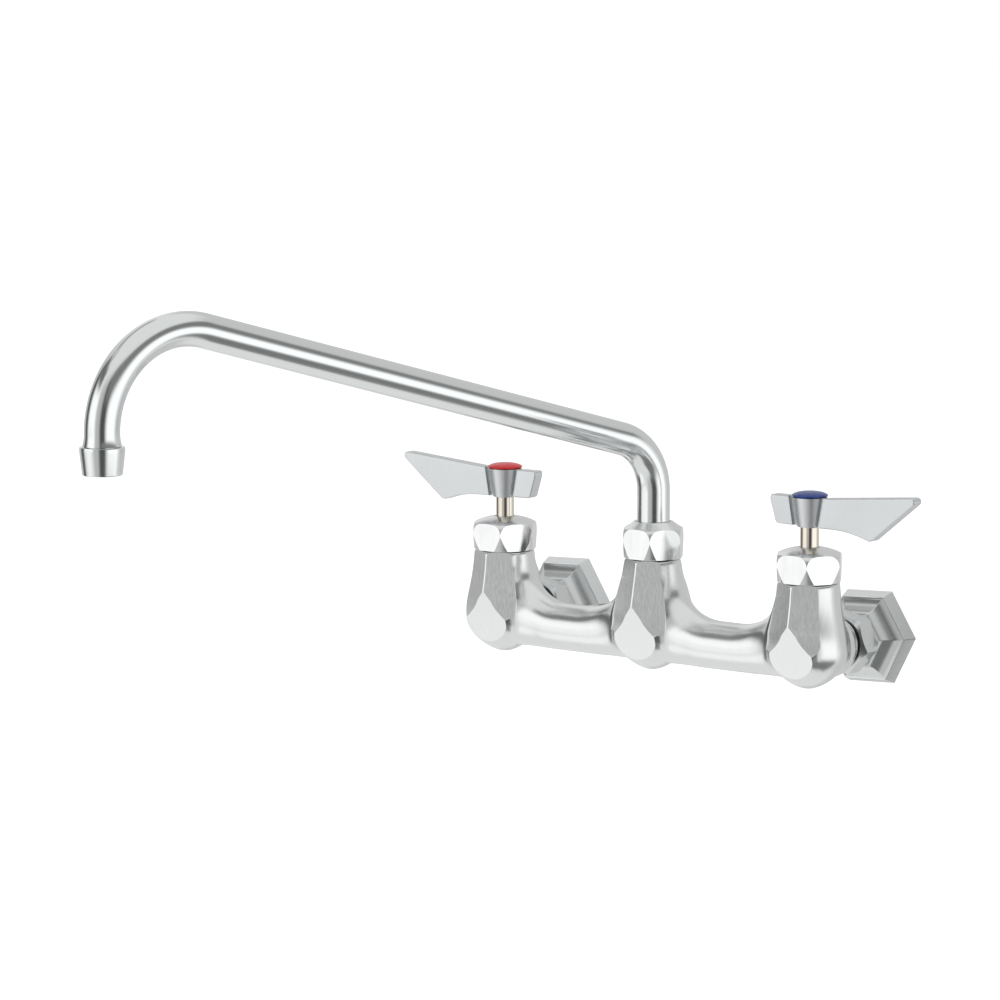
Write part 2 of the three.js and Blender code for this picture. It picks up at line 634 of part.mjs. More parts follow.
// The centre line of the spout in its own upright plane: riser, near bend, rising arm, far
// bend and the drop to the outlet. Its steps are close in the bends and long between them.
class SpoutCentreLine extends THREE.Curve {
  constructor() {
    super();
    const nearTurn = Math.PI / 2 - SLOPE;
    const farTurn = Math.PI / 2 + SLOPE;
    const nearRun = NEAR_BEND_RADIUS * Math.tan(nearTurn / 2);
    const nearCentre = [NEAR_BEND_RADIUS, SPOUT_CORNER_Z - nearRun];
    const farCentre = [SPOUT_REACH - FAR_BEND_RADIUS, FAR_CORNER_Z - FAR_BEND_RUN];
    const arc = (centre, radius, from, to, steps) => {
      return Array.from({ length: steps + 1 }, (_, step) => {
        const angle = from + (to - from) * (step / steps);
        const x = centre[0] + radius * Math.cos(angle);
        return new THREE.Vector3(x, 0, centre[1] + radius * Math.sin(angle));
      });
    };
    this.stations = [
      new THREE.Vector3(0, 0, RISER_BOTTOM_Z),
      ...arc(nearCentre, NEAR_BEND_RADIUS, Math.PI, Math.PI - nearTurn, NEAR_BEND_STEPS),
      ...arc(farCentre, FAR_BEND_RADIUS, farTurn, 0, FAR_BEND_STEPS),
      new THREE.Vector3(SPOUT_REACH, 0, OUTLET_TOP_Z + GAP + 1),
    ];
  }

  getPoint(t) {
    const last = this.stations.length - 1;
    const place = Math.min(Math.max(t, 0), 1) * last;
    const from = Math.min(Math.floor(place), last - 1);
    return this.stations[from].clone().lerp(this.stations[from + 1], place - from);
  }

  getUtoTmapping(u) {
    return u;
  }
}

function circlePath(kind, radius) {
  const path = new kind();
  path.absarc(0, 0, radius, 0, 2 * Math.PI, false);
  return path;
}

function spoutTubeGeometry() {
  const centreLine = new SpoutCentreLine();
  const section = circlePath(THREE.Shape, SPOUT_RADIUS);
  section.holes.push(circlePath(THREE.Path, TUBE_BORE_RADIUS));
  const bent = new THREE.ExtrudeGeometry(section, {
    steps: centreLine.stations.length - 1, curveSegments: TUBE_SEGMENTS, extrudePath: centreLine,
  });
  const shoulderZ = OUTLET_TOP_Z + GAP;
  const mouth = turnedRing([
    [TUBE_BORE_RADIUS, shoulderZ - MOUTH_SPIGOT_LENGTH],
    [MOUTH_SPIGOT_RADIUS, shoulderZ - MOUTH_SPIGOT_LENGTH],
    [MOUTH_SPIGOT_RADIUS, shoulderZ],
    [MOUTH_RADIUS, shoulderZ],
    [MOUTH_RADIUS, shoulderZ + 2],
    [SPOUT_RADIUS - 0.2, shoulderZ + 9],
    [TUBE_BORE_RADIUS + 0.4, shoulderZ + 9],
  ], 2 * TUBE_SEGMENTS).translate(SPOUT_REACH, 0, 0);
  return joined(bent, mouth);
}

function collarGeometry() {
  const grooveFloor = COLLAR_RADIUS - RING_GROOVE;
  const outside = [[COLLAR_RADIUS, COLLAR_BOTTOM_Z]];
  for (const groove of spoutGrooves()) {
    outside.push([COLLAR_RADIUS, groove], [grooveFloor, groove]);
    outside.push([grooveFloor, groove + RING_GROOVE], [COLLAR_RADIUS, groove + RING_GROOVE]);
  }
  return turnedRing([
    [TUBE_BORE_RADIUS, COLLAR_BOTTOM_Z],
    ...outside,
    [COLLAR_RADIUS, COLLAR_TOP_Z],
    [SPOUT_RADIUS + GAP, COLLAR_TOP_Z],
    [SPOUT_RADIUS + GAP, RISER_BOTTOM_Z - GAP],
    [TUBE_BORE_RADIUS, RISER_BOTTOM_Z - GAP],
  ], SMALL_ROUND);
}

function spoutGrooves() {
  return [COLLAR_BOTTOM_Z + 2, COLLAR_BOTTOM_Z + 6.5];
}

// The o-ring that fills an outside groove of a turned piece.
function grooveRing(outerRadius, grooveZ) {
  const inset = GAP / 2;
  return tube(
    outerRadius - RING_GROOVE + inset, outerRadius, grooveZ + inset, grooveZ + RING_GROOVE - inset,
  );
}

function frictionWasherGeometry() {
  const bottom = COLLAR_TOP_Z + GAP;
  return tube(SPOUT_RADIUS + GAP, COLLAR_RADIUS, bottom, bottom + FRICTION_WASHER_THICKNESS);
}

function outletRingGeometry() {
  const inner = MOUTH_SPIGOT_RADIUS + GAP;
  const lipTop = OUTLET_BOTTOM_Z + LIP_THICKNESS;
  return turnedRing([
    [inner - 1.4, OUTLET_BOTTOM_Z],
    [OUTLET_BOTTOM_RADIUS - 0.5, OUTLET_BOTTOM_Z],
    [OUTLET_BOTTOM_RADIUS, OUTLET_BOTTOM_Z + 0.5],
    [OUTLET_TOP_RADIUS, OUTLET_TOP_Z - 2.2],
    [OUTLET_TOP_RADIUS, OUTLET_TOP_Z - 0.6],
    [OUTLET_TOP_RADIUS - 0.5, OUTLET_TOP_Z],
    [inner, OUTLET_TOP_Z],
    [inner, lipTop],
    [inner - 1.4, lipTop],
  ]);
}

const INSERT_Z = OUTLET_BOTTOM_Z + LIP_THICKNESS + GAP;

function insertGeometry() {
  const insert = rod(MOUTH_SPIGOT_RADIUS, INSERT_Z, INSERT_Z + INSERT_THICKNESS);
  const holeCount = 6;
  const holeCircle = 4.6;
  const hole = () => rod(1.2, INSERT_Z - 1, INSERT_Z + INSERT_THICKNESS + 1, 6);
  const holes = Array.from({ length: holeCount }, (_, number) => {
    const angle = (number / holeCount) * 2 * Math.PI;
    return hole().translate(holeCircle * Math.cos(angle), holeCircle * Math.sin(angle), 0);
  });
  return cut(insert, hole(), ...holes);
}

function gasketGeometry() {
  const bottom = INSERT_Z + INSERT_THICKNESS + GAP;
  const top = OUTLET_TOP_Z + GAP - MOUTH_SPIGOT_LENGTH - GAP;
  return tube(TUBE_BORE_RADIUS - 1, MOUTH_SPIGOT_RADIUS, bottom, top);
}

// ---------------------------------------------------------------- inlets

// One ring of the flange: a hexagon with flats above and below.
function hexRing(flats, depth) {
  const corner = flats / 2 / Math.cos(Math.PI / 6);
  return Array.from({ length: 6 }, (_, side) => {
    const angle = (side / 6) * 2 * Math.PI;
    return new THREE.Vector3(corner * Math.cos(angle), depth, corner * Math.sin(angle));
  });
}

// A wall flange: a tapered hexagonal rim, then a cove down to a smaller hexagon.
function flangeGeometry() {
  const rimFront = FLANGE_FLATS - 2 * FLANGE_RIM_TAPER;
  const coveOuter = rimFront / 2 - FLANGE_STEP;
  const neck = FLANGE_NECK_FLATS / 2;
  const coveDepth = FLANGE_DEPTH - FLANGE_RIM - 2 * FLANGE_BREAK;
  const start = THREE.MathUtils.degToRad(COVE_START);
  const steps = 6;
  const cove = Array.from({ length: steps + 1 }, (_, step) => {
    const angle = THREE.MathUtils.lerp(start, Math.PI / 2, step / steps);
    const inward = (Math.sin(angle) - Math.sin(start)) / (1 - Math.sin(start));
    const half = coveOuter - (coveOuter - neck) * inward;
    const forward = 1 - Math.cos(angle) / Math.cos(start);
    return hexRing(2 * half, -FLANGE_RIM - coveDepth * forward);
  });
  const rings = [
    hexRing(FLANGE_FLATS, 0),
    hexRing(FLANGE_FLATS, -FLANGE_BREAK),
    hexRing(rimFront, -FLANGE_RIM),
    ...cove,
    hexRing(FLANGE_NECK_FLATS, FLANGE_BREAK - FLANGE_DEPTH),
    hexRing(FLANGE_NECK_FLATS - 2 * FLANGE_BREAK, -FLANGE_DEPTH),
  ];
  const pipeBore = rod(PIPE_RADIUS, -1, PIPE_DEPTH, ROUND).rotateX(Math.PI / 2);
  const shankBore = rod(INLET_BORE_RADIUS, PIPE_DEPTH - 1, FLANGE_DEPTH + 1);
  return cut(skinned(rings), pipeBore, shankBore.rotateX(Math.PI / 2));
}

// Places a piece turned about +Z so that its height runs from the wall into the room.
function facingRoom(geometry) {
  return geometry.rotateX(Math.PI / 2);
}

function nutGeometry() {
  const back = -NUT_BACK_Y;
  const front = -NUT_FRONT_Y;
  const corner = NUT_FLATS / 2 / Math.cos(Math.PI / 6);
  const crown = NUT_FLATS / 2 - 0.8;
  const outline = turned([
    [0, back], [corner - 0.6, back], [corner, back + 0.6],
    [corner, front - 2], [crown, front], [0, front],
  ]);
  const nut = common(outline, hexPrism(NUT_FLATS, back - 1, front + 1));
  const bored = cut(nut, rod(SHANK_RADIUS + GAP, back - 1, front + 1));
  return facingRoom(bored.rotateZ(THREE.MathUtils.degToRad(-NUT_TURN)));
}

function washerGeometry() {
  const front = -WASHER_FRONT_Y;
  return facingRoom(
    tube(SHANK_RADIUS + GAP, BOSS_RADIUS - 1.6, front - WASHER_THICKNESS, front),
  );
}

function shankGeometry() {
  const back = PIPE_DEPTH + GAP;
  const front = AXIS_TO_WALL - CHAMBER_RADIUS - 4 - 2 * GAP;
  return facingRoom(tube(WATERWAY_RADIUS, SHANK_RADIUS, back, front));
}

// ---------------------------------------------------------------- assembly

function piece(name, geometry, material) {
  const mesh = new THREE.Mesh(geometry, material);
  mesh.name = name;
  return mesh;
}

const faucet = new THREE.Group();

const turrets = new THREE.Group();
turrets.position.y = -AXIS_TO_WALL;
turrets.add(piece("body", bodyGeometry(), satin));
turrets.add(piece("spout_bonnet", spoutBonnetGeometry(), bright));
faucet.add(turrets);

const valves = [
  { name: "hot", side: -1, colour: red },
  { name: "cold", side: 1, colour: blue },
];

for (const { name, side, colour } of valves) {
  const valve = new THREE.Group();
  valve.position.set(side * HALF_CENTRES, -AXIS_TO_WALL, 0);
  valve.add(piece(`${name}_bonnet`, valveBonnetGeometry(), bright));
  valve.add(piece(`${name}_cartridge`, cartridgeGeometry(), brass));
  valve.add(piece(`${name}_cartridge_ring`, cartridgeRingGeometry(), rubber));
  valve.add(piece(`${name}_seat_seal`, seatSealGeometry(), rubber));
  valve.add(piece(`${name}_fixed_disc`, discGeometry(FIXED_DISC_Z), ceramic));

  const turning = new THREE.Group();
  const lean = THREE.MathUtils.degToRad(HANDLE_TURN);
  turning.rotation.z = side > 0 ? -lean : Math.PI + lean;
  turning.add(piece(`${name}_moving_disc`, discGeometry(MOVING_DISC_Z), ceramic));
  turning.add(piece(`${name}_stem`, stemGeometry(), nickel));
  turning.add(piece(`${name}_stem_ring`, grooveRing(STEM_RADIUS, STEM_GROOVE_Z), rubber));
  turning.add(piece(`${name}_handle`, handleGeometry(), satin));
  turning.add(piece(`${name}_handle_screw`, screwGeometry(), bright));
  turning.add(piece(`${name}_index_button`, buttonGeometry(), colour));
  valve.add(turning);
  faucet.add(valve);

  const inlet = new THREE.Group();
  inlet.position.x = side * HALF_CENTRES;
  inlet.add(piece(`${name}_wall_flange`, flangeGeometry(), satin));
  inlet.add(piece(`${name}_coupling_nut`, nutGeometry(), satin));
  inlet.add(piece(`${name}_coupling_washer`, washerGeometry(), rubber));
  inlet.add(piece(`${name}_inlet_shank`, shankGeometry(), brass));
  faucet.add(inlet);
}

const spout = new THREE.Group();
spout.position.y = -AXIS_TO_WALL;
spout.rotation.z = THREE.MathUtils.degToRad(-90 - SPOUT_SWING);
spout.add(piece("spout_tube", spoutTubeGeometry(), satin));
spout.add(piece("spout_collar", collarGeometry(), brass));
spoutGrooves().forEach((groove, number) => {
  const name = number === 0 ? "spout_lower_ring" : "spout_upper_ring";
  spout.add(piece(name, grooveRing(COLLAR_RADIUS, groove), rubber));
});
spout.add(piece("spout_friction_washer", frictionWasherGeometry(), nylon));

const outlet = new THREE.Group();
outlet.position.x = SPOUT_REACH;
outlet.add(piece("outlet_ring", outletRingGeometry(), satin));
outlet.add(piece("outlet_insert", insertGeometry(), nylon));
outlet.add(piece("outlet_gasket", gasketGeometry(), rubber));
spout.add(outlet);
faucet.add(spout);

export default faucet;
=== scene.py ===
import math
from types import SimpleNamespace

import bpy
from bpy.props import FloatProperty, FloatVectorProperty, PointerProperty
from bpy.types import NodeSocket, Operator, Panel, PropertyGroup
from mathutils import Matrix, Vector


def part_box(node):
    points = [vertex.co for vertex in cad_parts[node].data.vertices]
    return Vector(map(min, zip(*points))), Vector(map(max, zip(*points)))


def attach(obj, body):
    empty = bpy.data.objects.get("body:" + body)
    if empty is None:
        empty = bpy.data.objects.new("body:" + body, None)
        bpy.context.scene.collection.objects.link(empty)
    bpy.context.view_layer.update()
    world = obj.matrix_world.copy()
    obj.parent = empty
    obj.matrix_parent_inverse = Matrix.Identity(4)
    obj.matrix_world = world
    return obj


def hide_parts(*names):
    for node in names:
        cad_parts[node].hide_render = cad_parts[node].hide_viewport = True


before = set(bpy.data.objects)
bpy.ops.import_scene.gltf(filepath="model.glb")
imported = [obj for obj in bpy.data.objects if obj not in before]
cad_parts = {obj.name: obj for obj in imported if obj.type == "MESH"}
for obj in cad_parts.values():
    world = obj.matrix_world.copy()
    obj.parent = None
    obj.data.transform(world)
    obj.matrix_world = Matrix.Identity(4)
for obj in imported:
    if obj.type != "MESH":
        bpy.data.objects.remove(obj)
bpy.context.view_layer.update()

bl_info = {
    "name": "Wall Faucet",
    "version": (1, 0, 0),
    "blender": (4, 5, 0),
    "location": "3D View > Sidebar > Faucet",
    "description": "Models the finished looks of a wall-mount mixing faucet",
    "category": "Add Mesh",
}

# Lengths in this file are millimetres, but for those of the stage. The helpers below turn them
# into Blender's metres.
MM = 0.001
UP = Vector((0, 0, 1))
INTO_ROOM = Vector((0, -1, 0))
TO_WALL = Vector((0, 1, 0))
HEX_CORNER = 1 / math.cos(math.pi / 6)
GAP = 0.3  # between two pieces that fit together
PROUD = 1.035  # how far ridge and face edges stand out, as a share of the bell's radius
TURRET_BORE = 11  # radius of the socket in each turret
VALVE_FLOOR, SPOUT_FLOOR = 1.0, -2.6  # heights of the sockets' floors
CARTRIDGE_NECK = 8  # radius of a cartridge inside its bonnet
INLET_BORE = 8  # radius of the waterway through flange, nut and boss
SCREW_HOLE = 2.6  # radius of the hole for the handle screw


# ------------------------------------------------------------------ sizes and finishes


def level(name, description, millimetres, **limits):
    return FloatProperty(
        name=name, description=description, default=millimetres * MM, unit="LENGTH", precision=4,
        **limits,
    )


def length(name, description, millimetres):
    return level(name, description, millimetres, min=0)


def angle(name, description, degrees):
    return FloatProperty(
        name=name, description=description, default=math.radians(degrees), subtype="ANGLE"
    )


def share(name, description, value):
    return FloatProperty(
        name=name, description=description, default=value, min=0, max=1, subtype="FACTOR"
    )


def tint(name, description, red, green, blue):
    return FloatVectorProperty(
        name=name, description=description, default=(red, green, blue), min=0, max=1,
        subtype="COLOR",
    )


def inlet_centres():
    """The distance between the two wall flanges' axes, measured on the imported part."""
    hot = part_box("hot_wall_flange")
    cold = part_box("cold_wall_flange")
    return ((cold[0] + cold[1]).x - (hot[0] + hot[1]).x) / 2 / MM


class FaucetBodySizes(PropertyGroup):
    centres: length("Inlet centres", "Distance between the two inlets", inlet_centres())
    axis_to_wall: length("Axis to wall", "Turret axes in front of the wall", 60)
    turret_radius: length("Turret radius", "The widest part of each bell turret", 21.7)
    widest_z: level("Widest level", "Height of the turrets' widest part", -2.4)
    bottom_z: level("Bottom level", "Height of the turrets' foot", -20.7)
    shoulder_z: level("Shoulder level", "Where the bell's flare turns into the bulge", 9)
    valve_top_z: level("Valve turret top", "Height of the two outer turrets", 36.4)
    spout_top_z: level("Spout turret top", "Height of the middle turret", 40.4)
    face_edge: angle("Face edge", "Angle from the front ridge to the edge of a flat face", 51)
    ridge_width: angle("Ridge width", "Half of the angle that the polished front ridge takes", 0.9)
    facet_depth: length("Facet depth", "Turret axis to the teardrop facet", 17.15)
    facet_tilt: angle("Facet tilt", "How far the teardrop facet leans back below", 10.7)
    bridge_radius: length("Bridge radius", "Radius of the tube between the turrets", 13)
    bridge_z: level("Bridge level", "Height of the bridge's axis", -3.2)
    saddle_height: length("Saddle height", "Rise of the sweep from bridge to turret", 25)
    saddle_length: length("Saddle length", "Run of the sweep from bridge to turret", 29)
    boss_radius: length("Boss radius", "Radius of the inlet bosses", 14.4)
    boss_length: length("Boss length", "Turret axis to the end of an inlet boss", 26.8)


class FaucetTrimSizes(PropertyGroup):
    bonnet_flats: length("Valve bonnet", "Across the flats of the valve bonnets", 33)
    bonnet_height: length("Valve bonnet height", "Height of the valve bonnets", 18.2)
    spout_bonnet_flats: length("Spout bonnet", "Across the flats of the spout's bonnet", 31)
    spout_bonnet_height: length("Spout bonnet height", "Height of the spout's bonnet", 19.6)
    stem_radius: length("Stem radius", "Radius of the valve stems", 5)
    hub_bottom_z: level("Hub bottom", "Height of the underside of the handles' hubs", 65.6)
    hub_top_z: level("Hub top", "Height of the top of the handles' hubs", 81.4)
    hub_bottom_radius: length("Hub bottom radius", "Radius of a hub's cone below", 6.6)
    hub_top_radius: length("Hub top radius", "Radius of a hub's cone above", 9.3)
    blade_length: length("Blade length", "Stem axis to the blade's tip", 68.2)
    blade_thickness: length("Blade thickness", "Thickness of the handles' blades", 7.4)
    blade_tip_z: level("Blade tip level", "Height of the blade's tip", 86.2)
    tail_length: length("Tail length", "Stem axis to the end of the short tail", 23.6)
    flute_width: length("Flute width", "Width of the groove round each hub", 2.7)
    handle_turn: angle("Handle turn", "How far each closed blade leans out from the wall", 1.3)
    button_radius: length("Button radius", "Radius of the index buttons", 9.5)
    button_lift: length("Button lift", "Top of an index button over its place in the CAD", 0.7)
    flange_flats: length("Flange", "Across the flats of the wall flanges", 49.5)
    flange_depth: length("Flange depth", "Wall to the front of a flange", 19)
    flange_turn: angle("Flange turn", "How far the wall flanges stand off the level", 2.5)
    flange_neck: length("Flange neck", "Across the flats of a flange's front", 27.5)
    nut_flats: length("Nut", "Across the flats of the coupling nuts", 30)
    nut_turn: angle("Nut turn", "How far the tightened nuts stand off the level", -13)


class FaucetSpoutSizes(PropertyGroup):
    reach: length("Reach", "Turret axis to outlet axis", 355.6)
    swing: angle("Swing", "How far the spout stands to the left at rest", 13)
    tube_radius: length("Tube radius", "Outside radius of the spout's tube", 8.9)
    wall: length("Wall", "Thickness of the spout's tube", 1.4)
    slope: angle("Slope", "How steeply the arm rises towards the outlet", 15.1)
    corner_z: level("Corner level", "Where the riser's axis meets the arm's", 100.4)
    near_bend: length("Near bend", "Radius of the bend over the turret", 31)
    far_bend: length("Far bend", "Radius of the bend over the outlet", 48.6)
    outlet_drop: length("Outlet drop", "Straight tube under the far bend", 6.3)
    outlet_height: length("Outlet height", "Height of the outlet ring", 14)
    mouth_radius: length("Mouth radius", "Radius of the tube's flared end", 9.8)
    outlet_top_radius: length("Outlet top radius", "Radius of the outlet ring above", 11.3)
    outlet_bottom_radius: length("Outlet bottom radius", "Radius of the outlet ring below", 10.0)


class FaucetFinishes(PropertyGroup):
    cast_metal: tint("Body metal", "Satin chrome of the body", 0.80, 0.81, 0.81)
    tube_metal: tint("Spout metal", "Brushed metal of the spout", 0.80, 0.82, 0.82)
    handle_metal: tint("Handle metal", "Satin metal of the handles", 0.72, 0.74, 0.75)
    flange_metal: tint("Flange metal", "Satin metal of flanges and nuts", 0.72, 0.74, 0.74)
    bonnet_metal: tint("Bonnet metal", "Polished metal of the bonnets' flats", 0.87, 0.88, 0.88)
    stem_metal: tint("Stem metal", "Polished nickel of the stems", 0.80, 0.75, 0.66)
    brass: tint("Brass", "Bare brass of the inner pieces", 0.72, 0.50, 0.22)
    rubber: tint("Rubber", "Black rubber of rings, seals and washers", 0.012, 0.012, 0.013)
    nylon: tint("Nylon", "White nylon of friction washer and insert", 0.72, 0.71, 0.67)
    ceramic: tint("Ceramic", "Fired ceramic of the valve discs", 0.82, 0.80, 0.76)
    hot_colour: tint("Hot colour", "Colour of the hot index button", 0.66, 0.010, 0.018)
    cold_colour: tint("Cold colour", "Colour of the cold index button", 0.008, 0.04, 0.24)
    satin: share("Satin", "Roughness of the satin pieces", 0.23)
    polish: share("Polish", "Roughness of the polished pieces", 0.09)


def all_sizes(scene):
    """The sizes of all groups together: lengths in millimetres, angles as they are."""
    found = {}
    for group in (scene.faucet_body, scene.faucet_trim, scene.faucet_spout):
        for name, kind in group.bl_rna.properties.items():
            if kind.type == "FLOAT":
                value = getattr(group, name)
                found[name] = value if kind.subtype == "ANGLE" else value / MM
    return SimpleNamespace(**found)


def settings(context):
    """The sizes and the finishes that the user sees in the panel."""
    return all_sizes(context.scene), context.scene.faucet_finishes


def cold_axis(size):
    """The foot of the cold valve's axis. The hot one is its mirror image."""
    return Vector((size.centres / 2, -size.axis_to_wall, 0))


def cold_to_hot(size):
    return Vector((-size.centres, 0, 0))


def cad_range(node, direction):
    """Where a CAD node starts and ends along x, y or z."""
    low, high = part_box(node)
    return getattr(low, direction) / MM, getattr(high, direction) / MM


# ------------------------------------------------------------------ drawing and shaping


def curve(controls, steps):
    """Points on the Bezier curve with these control points, both ends included."""
    points = []
    for step in range(steps + 1):
        places = [Vector(control) for control in controls]
        while len(places) > 1:
            places = [a.lerp(b, step / steps) for a, b in zip(places, places[1:])]
        points.append(places[0])
    return points


def start_alone():
    """Leaves edit mode and selects nothing."""
    if bpy.context.object and bpy.context.object.mode == "EDIT":
        bpy.ops.object.mode_set(mode="OBJECT")
    bpy.ops.object.select_all(action="DESELECT")


def only(piece):
    """Selects one object and makes it the active one."""
    start_alone()
    piece.select_set(True)
    bpy.context.view_layer.objects.active = piece


def named(name):
    piece = bpy.context.object
    piece.name = name
    piece.data.name = name
    return piece


def settle(piece):
    """Leaves edit mode and puts the piece's place and turn into its mesh."""
    only(piece)
    bpy.ops.object.transform_apply(location=True, rotation=True, scale=True)
    return piece


def edit_all(piece):
    """Opens a piece in edit mode with all of it selected."""
    only(piece)
    bpy.ops.object.mode_set(mode="EDIT")
    bpy.ops.mesh.select_all(action="SELECT")


def draw(name, places):
    """A chain of edges through these places, in edit mode."""
    start_alone()
    bpy.ops.mesh.primitive_plane_add(size=MM, location=places[0] * MM)
    piece = named(name)
    bpy.ops.object.mode_set(mode="EDIT")
    bpy.ops.mesh.select_mode(type="VERT")
    bpy.ops.mesh.merge(type="CENTER")
    for start, end in zip(places, places[1:]):
        bpy.ops.mesh.extrude_region_move(TRANSFORM_OT_translate={"value": (end - start) * MM})
    bpy.ops.mesh.select_all(action="SELECT")
    return piece


def close_shell():
    """Merges what meets and turns every face outwards."""
    bpy.ops.mesh.select_all(action="SELECT")
    bpy.ops.mesh.remove_doubles(threshold=0.001 * MM)
    bpy.ops.mesh.normals_make_consistent(inside=False)


def spin(name, outline, foot, axis=UP, steps=96, ring=False):
    """Turns an outline of radius and height pairs about an axis through foot."""
    across = Vector((1, 0, 0))
    places = [foot + across * radius + axis * height for radius, height in outline]
    if ring:
        places.append(places[0])
    piece = draw(name, places)
    bpy.ops.mesh.spin(steps=steps, angle=math.tau, center=foot * MM, axis=axis)
    close_shell()
    return settle(piece)


def plate(name, places, push):
    """A flat outline filled and pushed out to a solid, in edit mode."""
    piece = draw(name, [*places, places[0]])
    bpy.ops.mesh.remove_doubles(threshold=0.001 * MM)
    bpy.ops.mesh.edge_face_add()
    bpy.ops.mesh.extrude_region_move(TRANSFORM_OT_translate={"value": push * MM})
    return piece


def grow(push, scale, centre):
    """Pushes the selected face or loop out by a step and scales it about a centre."""
    bpy.ops.mesh.extrude_region_move(TRANSFORM_OT_translate={"value": push * MM})
    bpy.ops.transform.resize(value=scale, center_override=centre * MM)


def rod(radius, start, end, sides=64):
    """A round cutter from one place to another."""
    start_alone()
    line = end - start
    turn = UP.rotation_difference(line).to_euler()
    bpy.ops.mesh.primitive_cylinder_add(
        vertices=sides, radius=radius * MM, depth=line.length * MM,
        location=(start + end) / 2 * MM, rotation=turn,
    )
    return settle(named("cutter"))


def hexagon_rod(flats, start, end, turn=0.0):
    """A hexagonal cutter with flats facing up and down, or forwards and back."""
    piece = rod(flats / 2 * HEX_CORNER, start, end, sides=6)
    only(piece)
    axis = "Z" if abs((end - start).z) > GAP else "Y"
    bpy.ops.transform.rotate(
        value=turn + math.pi / 6, orient_axis=axis, center_override=(start + end) / 2 * MM
    )
    return settle(piece)


def modify(piece, kind, **settings):
    """Adds a modifier and applies it."""
    only(piece)
    modifier = piece.modifiers.new(kind.title(), kind)
    for name, value in settings.items():
        setattr(modifier, name, value)
    bpy.ops.object.modifier_apply(modifier=modifier.name)
    return piece


def combine(piece, tool, operation="DIFFERENCE"):
    """Cuts, joins or intersects a piece with a tool, which is then gone."""
    modify(piece, "BOOLEAN", object=tool, operation=operation, solver="MANIFOLD")
    bpy.data.objects.remove(tool, do_unlink=True)
    return piece


def gathered(name, pieces):
    """Several pieces as one object."""
    only(pieces[0])
    for piece in pieces[1:]:
        piece.select_set(True)
    bpy.ops.object.join()
    return named(name)


def turn_upright(axis, angle):
    """Turns what is selected about an upright axis, to the left as seen from above."""
    bpy.ops.transform.rotate(value=-angle, orient_axis="Z", center_override=axis * MM)


def copied(piece, name, shift, axis=None, angle=0.0):
    """A copy with its own mesh, turned about an upright axis if asked, then moved."""
    only(piece)
    bpy.ops.object.duplicate()
    twin = named(name)
    if axis is not None:
        turn_upright(axis, angle)
    bpy.ops.transform.translate(value=shift * MM)
    return settle(twin)


def pick_points(piece, test, *facts):
    """In edit mode, selects the points whose place in millimetres passes a test."""
    only(piece)
    bpy.ops.object.mode_set(mode="EDIT")
    bpy.ops.mesh.select_mode(type="VERT")
    bpy.ops.mesh.select_all(action="DESELECT")
    bpy.ops.object.mode_set(mode="OBJECT")
    for point in piece.data.vertices:
        point.select = test(point.co / MM, *facts)
    bpy.ops.object.mode_set(mode="EDIT")


def smooth_shading(piece, degrees):
    """Smooth shading with crisp edges, where large flats keep their own direction."""
    only(piece)
    bpy.ops.object.shade_smooth_by_angle(angle=math.radians(degrees))
    modify(piece, "WEIGHTED_NORMAL", keep_sharp=True, weight=80)


def soften(piece, width, degrees=35, segments=2):
    """Breaks the sharp edges of a piece."""
    modify(
        piece, "BEVEL", width=width * MM, segments=segments, limit_method="ANGLE",
        angle_limit=math.radians(degrees), use_clamp_overlap=True,
    )


def paint(piece, finish):
    """Gives a piece one material."""
    piece.data.materials.clear()
    piece.data.materials.append(finish)


def dress(piece, finish, body, slot, *nodes):
    """Gives a finished piece its material and the body that it moves with, and hides the CAD nodes
    that it stands in for.
    """
    paint(piece, finish)
    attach(piece, body)
    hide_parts(*nodes)


def dress_both(cold, hot, finish, slot, node):
    """Dresses the cold and the hot copy of a piece that turns with its handle."""
    dress(cold, finish, "cold_handle_set", slot, f"cold_{node}")
    dress(hot, finish, "hot_handle_set", slot, f"hot_{node}")


def second_finish(piece, finish, test, *facts):
    """Gives another material to the faces whose middle and direction pass a test."""
    piece.data.materials.append(finish)
    only(piece)
    bpy.ops.object.mode_set(mode="EDIT")
    bpy.ops.mesh.select_mode(type="FACE")
    bpy.ops.mesh.select_all(action="DESELECT")
    bpy.ops.object.mode_set(mode="OBJECT")
    for face in piece.data.polygons:
        face.select = test(face.center / MM, face.normal, *facts)
    bpy.ops.object.mode_set(mode="EDIT")
    piece.active_material_index = len(piece.data.materials) - 1
    bpy.ops.object.material_slot_assign()
    start_alone()


def compass(direction):
    """How far a direction points to the right of straight out of the wall."""
    return math.atan2(direction.x, -direction.y)


# ------------------------------------------------------------------ finishes


def feed(tree, value, socket):
    """Links another node's output to an input, or writes a plain value there."""
    if isinstance(value, NodeSocket):
        tree.links.new(value, socket)
    else:
        socket.default_value = value


def add(tree, kind, **values):
    """Adds a node. A value goes to the input of that name, or else to the node itself."""
    node = tree.nodes.new(kind)
    for name, value in values.items():
        socket = node.inputs.get(name.replace("_", " ").title())
        if socket is None:
            setattr(node, name, value)
        else:
            feed(tree, value, socket)
    return node


def figure(tree, operation, *values):
    """The result of a Math node on numbers or on other nodes' outputs."""
    node = add(tree, "ShaderNodeMath", operation=operation)
    for value, socket in zip(values, node.inputs):
        feed(tree, value, socket)
    return node.outputs["Value"]


def spread(tree, value, low, high, start=0.3, end=0.7):
    """Maps a pattern onto a range. A noise keeps mostly between 0.3 and 0.7."""
    ends = {"from_min": start, "from_max": end, "to_min": low, "to_max": high}
    return add(tree, "ShaderNodeMapRange", value=value, **ends).outputs["Result"]


